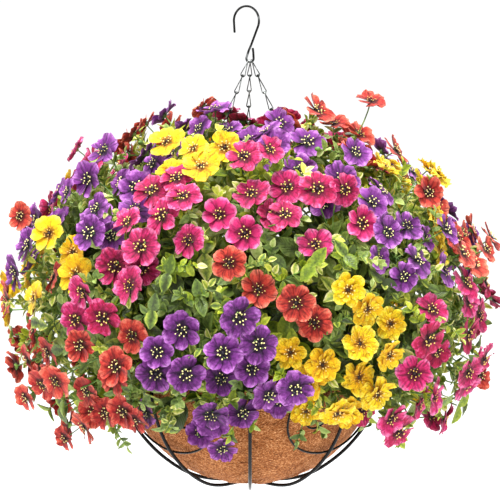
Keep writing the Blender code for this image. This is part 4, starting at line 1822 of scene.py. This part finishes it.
        delete([*rings, *frilled, *centre_shapes, calyx, bud])
        delete([shape for _, shapes in leaves for shape in shapes])


# Basket


@dataclass
class WireBowl:
    """The black wire bowl: rim ring, eight ribs, four scrolls and the disc that the ribs meet at."""

    rib_count: int = 8
    rib_wire: float = 4.0 * MM
    rib_radius: float = 156 * MM
    rib_depth: float = 146.35 * MM
    # A rib's bends above and below the scroll, in degrees from straight down, then (radius, rise) in mm
    rib_angles: tuple[tuple[float, ...], tuple[float, ...]] = ((80, 70, 61), (42, 32))
    rib_turn_in: tuple[tuple[float, float], ...] = ((64, 4.9), (46, 0.9), (30, 0))
    scroll_wire: float = 2.6 * MM
    scroll_radius: float = 152.34 * MM
    scroll_low: float = 94 * MM
    # A scroll's curl and arch: how far to the side and down their middles lie, and their radii
    curl: tuple[float, float, float] = (36.5 * MM, 45 * MM, 13.7 * MM)
    arch: tuple[float, float, float] = (47 * MM, 44 * MM, 24.4 * MM)
    hub_radius: float = 14 * MM
    hub_thickness: float = 3 * MM

    def build(self) -> None:
        """Build the bowl's pieces and dress them."""
        self.coat = WIRE_COAT.material()
        self.build_rim()
        kinds = (
            ("rib", self.rib_count, 0.0, self.rib_path, self.rib_wire, 3),
            ("scroll", self.rib_count // 2, 0.5, self.scroll_path, self.scroll_wire, 2),
        )
        for kind, count, ahead, find_path, wire, rounding in kinds:
            for number in range(count):
                name = f"{kind}_{number + 1}"
                run = Run.even(find_path((number + ahead) * 360 / count), wire / 2)
                dress(make_tubes(f"bowl_{name}", [run], rounding, self.coat), "black_wire", name)
        self.build_hub()

    def build_rim(self) -> None:
        """Build the rim ring with a bead of weld at each rib."""
        ring = new_primitive(
            bpy.ops.mesh.primitive_torus_add,
            "rim",
            major_radius=RIM_RADIUS,
            minor_radius=RIM_WIRE / 2,
            major_segments=144,
            minor_segments=12,
            location=(0, 0, RIM_Z),
        )
        bead = new_primitive(bpy.ops.mesh.primitive_ico_sphere_add, "bead", subdivisions=2, radius=1)
        parts = [ring]
        for number in range(self.rib_count):
            azimuth = number * 360 / self.rib_count
            spot = polar(azimuth, RIM_RADIUS + 0.5 * MM, RIM_Z - RIM_WIRE / 2)
            turn = Matrix.Rotation(math.radians(azimuth), 4, "Z")
            size = Matrix.Diagonal((3.2 * MM, 2.4 * MM, 2.2 * MM, 1))
            parts.append(copy_to(bead, Matrix.Translation(spot) @ turn @ size))
        delete([bead])
        made = join(parts, "bowl_rim")
        made.data.shade_smooth()
        set_only(made, self.coat)
        dress(made, "black_wire", "rim_ring")

    def rib_path(self, azimuth: float) -> list[Vector]:
        """Find a rib's centre line, from the rim round the bowl and in to the hub.

        Args:
            azimuth: The rib's azimuth.

        Returns:
            The points.
        """
        crossing = math.acos(self.scroll_low / self.scroll_radius)
        high, low = ([math.radians(angle) for angle in angles] for angles in self.rib_angles)
        turns = [*high, crossing, *low]
        points = [(RIM_RADIUS, -RIM_WIRE / 2)]
        points += [(self.rib_radius * math.sin(t), -self.rib_radius * math.cos(t)) for t in turns]
        points += [(radius * MM, -self.rib_depth + rise * MM) for radius, rise in self.rib_turn_in]
        points += [(self.hub_radius - 1 * MM, -self.rib_depth)]
        return rounded([polar(azimuth, radius, RIM_Z + height) for radius, height in points], 5)

    def scroll_path(self, azimuth: float) -> list[Vector]:
        """Find a scroll's centre line: a curl, an arch, a long dip inside the rib, and then both mirrored.

        Args:
            azimuth: The azimuth of the rib that carries the scroll.

        Returns:
            The points.
        """
        curl_x, curl_y, curl_radius = self.curl
        arch_x, arch_y, arch_radius = self.arch
        curl = arc((-curl_x, -curl_y), curl_radius, 180, 360, 12)
        arch = arc((-arch_x, -arch_y), arch_radius, 0, 180, 15)
        reach = arch_x + arch_radius
        dip = []
        for k in range(1, 30):
            turn = math.pi * k / 30
            dip.append((-reach * math.cos(turn), -arch_y - (self.scroll_low - arch_y) * math.sin(turn)))
        half = curl + arch[1:]
        flat = half + dip + [(-x, y) for x, y in reversed(half)]
        points = []
        for sideways, height in flat:
            radius = math.sqrt(self.scroll_radius**2 - height**2)
            points.append(polar(azimuth + math.degrees(sideways / radius), radius, RIM_Z + height))
        return points

    def build_hub(self) -> None:
        """Build the pressed disc under the bowl, with a rounded edge and a shallow dish."""
        hub = new_primitive(
            bpy.ops.mesh.primitive_cylinder_add,
            "bowl_hub",
            vertices=48,
            radius=self.hub_radius,
            depth=self.hub_thickness,
            location=(0, 0, RIM_Z - self.rib_depth),
        )
        bpy.ops.object.mode_set(mode="EDIT")
        bpy.ops.mesh.select_all(action="DESELECT")
        solid = bmesh.from_edit_mesh(hub.data)
        for face in solid.faces:
            face.select_set(face.normal.z < -0.9)
        bmesh.update_edit_mesh(hub.data)
        bpy.ops.mesh.inset(thickness=4 * MM)
        bpy.ops.transform.translate(value=(0, 0, 0.8 * MM))
        bpy.ops.object.mode_set(mode="OBJECT")
        apply_modifier(hub, "BEVEL", width=0.7 * MM, segments=3, limit_method="ANGLE")
        smooth(hub, 40)
        set_only(hub, self.coat)
        dress(hub, "black_wire", "hub_disc")


@dataclass
class Liner:
    """The coir liner: a pressed bowl, swollen a little between the ribs, with a ragged lip."""

    radius: float = 150 * MM
    wall: float = 8 * MM
    lip: float = 6 * MM
    flat_angle: float = 16.3
    swell: float = 1.6 * MM
    slack: float = 3.4 * MM
    full_depth: float = 60 * MM
    ribs: int = 8
    fibre_count: int = 1100
    seed: int = 31

    def build(self) -> None:
        """Build the liner and its loose fibres, and dress them."""
        felt = CoirFelt().material()
        bowl = new_primitive(
            bpy.ops.mesh.primitive_uv_sphere_add,
            "bowl",
            segments=144,
            ring_count=96,
            radius=self.radius,
            location=(0, 0, RIM_Z),
        )
        bpy.ops.object.mode_set(mode="EDIT")
        bpy.ops.mesh.select_all(action="SELECT")
        bpy.ops.mesh.bisect(plane_co=(0, 0, RIM_Z), plane_no=(0, 0, 1), clear_outer=True)
        bpy.ops.mesh.select_all(action="DESELECT")
        solid = bmesh.from_edit_mesh(bowl.data)
        for edge in solid.edges:
            edge.select_set(all(abs(vert.co.z - RIM_Z) < 0.1 * MM for vert in edge.verts))
        bmesh.update_edit_mesh(bowl.data)
        for _ in range(2):
            bpy.ops.mesh.extrude_edges_move(TRANSFORM_OT_translate={"value": (0, 0, self.lip / 2)})
        bpy.ops.object.mode_set(mode="OBJECT")
        floor = RIM_Z - self.radius * math.cos(math.radians(self.flat_angle))

        def press(spot: Vector) -> Vector:
            """Flatten the bottom, swell the felt between the ribs and roughen it.

            Args:
                spot: The vertex on the plain bowl.

            Returns:
                Its place on the felt.
            """
            level = Vector((spot.x, spot.y, 0))
            azimuth = math.atan2(spot.x, -spot.y)
            depth = self.depth_share(spot.z)
            swell = self.swell * math.sin(self.ribs * azimuth / 2) ** 2 * depth
            # Lumps 14 mm wide and tufts 4 mm wide
            lumps = noise.noise(spot * 70) * 1.0 * MM + noise.noise(spot * 260) * 0.5 * MM
            outward = (spot - Vector((0, 0, RIM_Z))).normalized()
            made = spot + outward * (swell + lumps - self.slack * depth)
            if spot.z > RIM_Z:
                # The lip is ragged: waves 22 mm long with tufts 5 mm wide on them
                made.z = spot.z + (noise.noise(spot * 45) * 3.5 + noise.noise(spot * 210) * 2.5) * MM
                made -= level.normalized() * 1.5 * MM
            if made.z < floor:
                made.z = floor + noise.noise(spot * 150) * 0.6 * MM
            return made

        reshape(bowl, press)
        apply_modifier(bowl, "SOLIDIFY", thickness=self.wall, offset=-1.0)
        bowl.data.shade_smooth()
        set_only(bowl, felt)
        fibres = make_tubes("fibres", self.fibre_runs(), 0, felt)
        made = join([bowl, fibres], "liner_felt")
        dress(made, "coir", "coir_liner")

    def depth_share(self, height: float) -> float:
        """Tell what share of its swell and slack the wall has at a height: none at the rim, all below."""
        return min(1.0, max(0.0, RIM_Z - height) / self.full_depth)

    def fibre_runs(self) -> list[Run]:
        """Lay loose fibres over the felt, most of them flat on it and some lifting at one end.

        Returns:
            The fibres.
        """
        draw = random.Random(self.seed)
        middle = Vector((0, 0, RIM_Z))
        runs = []
        for number in range(self.fibre_count):
            azimuth = draw.uniform(0, 360)
            at_lip = number % 3 == 0
            polar_angle = draw.uniform(84, 91) if at_lip else draw.uniform(18, 88)
            turn = math.radians(polar_angle)
            outward = polar(azimuth, math.sin(turn), -math.cos(turn))
            spot = middle + outward * (self.radius + 0.2 * MM)
            if at_lip:
                spot.z += draw.uniform(0, self.lip)
            turn = Matrix.Rotation(draw.uniform(0, 2 * math.pi), 3, outward)
            heading = turn @ outward.orthogonal().normalized()
            side = outward.cross(heading)
            length = draw.uniform(7, 22) * MM
            bend = draw.uniform(-0.5, 0.5) * length
            lift = draw.uniform(0.2, 1.2) * MM if draw.random() < 0.75 else draw.uniform(1, 3) * MM
            points = []
            for k in range(5):
                t = k / 4
                point = spot + heading * length * (t - 0.5) + side * bend * t * (1 - t)
                radial = (point - middle).normalized()
                height = self.radius - self.slack * self.depth_share(point.z) + 0.5 * MM + lift * t**2
                if at_lip:
                    height = (point - middle).length
                points.append(middle + radial * height + (UP * lift * t**2 if at_lip else Vector()))
            radius = draw.uniform(0.18, 0.34) * MM
            runs.append(Run(points, [radius * 0.6, radius, radius, radius, radius * 0.5]))
        return runs


# Hook and chains


@dataclass
class Hook:
    """The bent wire hook, open above and closed to an eye below."""

    wire: float = 2.6 * MM
    crook_radius: float = 14.1 * MM
    crook_offset: float = -4 * MM
    crook_stretch: float = 1.17
    tip_z: float = -28 * MM
    eye_radius: float = 4.1 * MM
    eye_top: float = -43 * MM
    eye_centre: float = -56.9 * MM

    def build(self) -> None:
        """Build the hook and dress it."""
        inner = self.crook_radius - self.wire / 2
        centre = (self.crook_offset, -math.sqrt(inner**2 - self.crook_offset**2))
        tip = (self.crook_offset - self.crook_radius + 0.8 * MM, self.tip_z)
        top = centre[1] + self.crook_radius
        crook = arc(centre, self.crook_radius, 188, -22, 22)
        flat = [tip] + [(x, top - (top - z) * self.crook_stretch) for x, z in crook]
        # The shank crosses over to the left of the eye, and the eye's end comes back up on the right
        flat += [(1.2 * MM, self.eye_top + 1 * MM), (-1.4 * MM, self.eye_top - 5 * MM)]
        flat += arc((0.0, self.eye_centre), self.eye_radius, 172, 368, 10)
        flat += [(3.7 * MM, self.eye_top - 7 * MM), (3.1 * MM, self.eye_top - 2 * MM)]
        path = rounded(spaced([Vector((x, 0, z)) for x, z in flat], 2.4 * MM), 3)
        radii = [self.wire / 2] * len(path)
        radii[0] *= 0.7
        radii[-1] *= 0.7
        hook = make_tubes("hanger_hook", [Run(path, radii)], 4, HOOK_CHROMATE.material())
        dress(hook, "black_wire", "hook")


@dataclass
class Chains:
    """The three chains of wire links, from the hook's eye to the rim."""

    runs: tuple[tuple[str, float, int], ...] = (("left", -56.5, -1), ("back", 183.5, 0), ("right", 63.5, 1))
    pitch: float = 20 * MM
    width: float = 6.0 * MM
    wire: float = 1.2 * MM
    top_width: float = 6.2 * MM
    spacing: float = 2.4 * MM
    knot_radius: float = 1.25 * MM
    knot_turns: float = 2.2
    gap: float = 0.3 * MM
    facet: float = 15.0
    hook: Hook = field(default_factory=Hook)

    def build(self) -> None:
        """Build each chain and dress it."""
        steel = CHAIN_STEEL.material()
        for name, azimuth, order in self.runs:
            chain = make_tubes(f"hanger_chain_{name}", self.chain_runs(azimuth, order), 1, steel)
            dress(chain, "chain_steel", f"chain_{name}")

    def link(self, start: Vector, end: Vector, across: Vector, width: float) -> Run:
        """Bend one link of wire: two straight sides and two round ends, the lower one a quarter turn on.

        Args:
            start: The outside of its upper end.
            end: The outside of its lower end.
            across: The direction of its width at the upper end.
            width: Its width outside.

        Returns:
            The link.
        """
        middle = (start + end) / 2
        along = (end - start).normalized()
        upper = (across - along * across.dot(along)).normalized()
        bend = (width - self.wire) / 2
        straight = (end - start).length / 2 - bend - self.wire / 2
        points = []
        for side, across in ((1, along.cross(upper)), (-1, upper)):
            for k in range(9):
                turn = math.pi * k / 8
                reach = along * (straight + bend * math.sin(turn))
                points.append(middle + side * (reach + across * bend * math.cos(turn)))
        return Run.even(points, self.wire / 2, closed=True)

    def knot(self, spot: Vector, along: Vector, across: Vector) -> Run:
        """Wind the short twist that closes a link.

        Args:
            spot: The twist's middle.
            along: The chain's direction.
            across: A direction across it.

        Returns:
            The twist.
        """
        other = along.cross(across)
        reach = self.knot_radius
        points = []
        for k in range(17):
            turn = self.knot_turns * 2 * math.pi * k / 16
            rise = along * (k / 16 - 0.5) * 2.6 * MM
            points.append(spot + rise + across * reach * math.cos(turn) + other * reach * math.sin(turn))
        return Run.even(points, self.wire / 2 * 0.9)

    def chain_runs(self, azimuth: float, order: int) -> list[Run]:
        """Lay out a chain's wires: the top link, the run of links and the hook that grips the rim.

        Args:
            azimuth: The chain's azimuth at the rim.
            order: Its place along the eye's wire.

        Returns:
            The wires.
        """
        facet_middle = round((azimuth - self.facet / 2) / self.facet) * self.facet + self.facet / 2
        flat = math.cos(math.radians(self.facet / 2)) / math.cos(math.radians(azimuth - facet_middle))
        grip = RIM_WIRE / 2 + self.gap + self.wire / 2
        height = RIM_Z + RIM_WIRE / 2 + self.gap + 1.35 * MM + self.wire * 0.6
        seat = polar(azimuth, RIM_RADIUS * flat + grip, height)
        across = order * self.spacing
        eye = Vector((across, 0, self.hook.eye_centre - math.sqrt(self.hook.eye_radius**2 - across**2)))
        along = (seat - eye).normalized()
        hung = eye - along * (self.hook.wire / 2 + self.wire / 2 + 1.5 * self.gap)
        sideways = (Vector((0, 1, 0)) - along * along.y).normalized()
        other = along.cross(sideways)
        half = self.wire / 2
        start = hung + along * self.pitch
        count = round((seat - start).length / self.pitch)
        step = (seat - start) / count
        runs = [self.link(hung - along * half, start + along * half * 2.4, sideways, self.top_width)]
        for number in range(count):
            first, last = start + step * number, start + step * (number + 1)
            ends = first - along * half * 2.4, last + along * half * 2.4
            runs.append(self.link(*ends, sideways, self.width))
        runs += [self.knot(start + step * number, along, other) for number in range(count + 1)]
        hook = []
        for k in range(15):
            turn = math.radians(20 - 230 * k / 14)
            hook.append(polar(azimuth, RIM_RADIUS + grip * math.cos(turn), RIM_Z + grip * math.sin(turn)))
        runs.append(Run.even([seat + Vector((0, 0, 1.2 * MM)), seat, *hook], half))
        return runs


# Stage


@dataclass
class Studio:
    """A plain pale floor, soft light all round and the camera at the photograph's angle."""

    floor_z: float = -1.15
    floor_half: float = 30.0
    elevation: float = 9.0
    distance: float = 3.0
    lens: float = 189.5
    aim_z: float = -0.2755
    sky_strength: float = 1.05

    def build(self) -> None:
        """Build the floor, the light and the camera."""
        floor = new_primitive(
            bpy.ops.mesh.primitive_plane_add,
            "studio_floor",
            size=2 * self.floor_half,
            location=(0, 0, self.floor_z),
        )
        made, shader, _ = new_material("floor_painted_plaster")
        set_inputs(shader, {"Base Color": linear("#FFFFFF"), "Roughness": 0.95})
        set_only(floor, made)
        world = bpy.data.worlds.new("studio_world")
        world.use_nodes = True
        sky = world.node_tree.nodes["Background"]
        set_inputs(sky, {"Color": linear("#FFFFFF"), "Strength": self.sky_strength})
        bpy.context.scene.world = world
        self.add_light("key", (-0.9, -1.7, 2.4), 1.0, 72)
        self.add_light("sky", (0.1, -0.3, 2.4), 1.6, 110)
        self.add_light("fill", (2.0, -1.8, 0.4), 1.8, 8)
        self.add_light("back", (0.4, 2.4, 1.4), 1.8, 20)
        scene = bpy.context.scene
        scene.view_settings.view_transform = "Standard"
        data = bpy.data.cameras.new("studio_camera")
        data.lens = self.lens
        data.sensor_width = 36
        camera = bpy.data.objects.new("studio_camera", data)
        scene.collection.objects.link(camera)
        tilt = math.radians(self.elevation)
        aim = Vector((0, 0, self.aim_z))
        camera.location = aim + self.distance * Vector((0, -math.cos(tilt), math.sin(tilt)))
        camera.rotation_euler = (aim - camera.location).to_track_quat("-Z", "Y").to_euler()
        scene.camera = camera

    def add_light(self, name: str, place: tuple[float, float, float], size: float, power: float) -> None:
        """Add a soft square light that points at the basket.

        Args:
            name: The light's name.
            place: Where it stands.
            size: The length of its side.
            power: Its power in watts.
        """
        data = bpy.data.lights.new(f"studio_{name}", "AREA")
        data.size = size
        data.energy = power
        light = bpy.data.objects.new(f"studio_{name}", data)
        bpy.context.scene.collection.objects.link(light)
        light.location = place
        ahead = Vector((0, 0, self.aim_z)) - light.location
        light.rotation_euler = ahead.to_track_quat("-Z", "Y").to_euler()


def main() -> None:
    """Build the basket piece by piece."""
    logging.basicConfig(level=logging.INFO, format="%(name)s: %(message)s")
    Studio().build()
    foam = bpy.data.objects["foam_fill"]
    set_only(foam, FOAM_CELLS.material())
    Hook().build()
    Chains().build()
    WireBowl().build()
    Liner().build()
    Planting().build()
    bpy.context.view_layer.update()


if __name__ == "__main__":
    main()
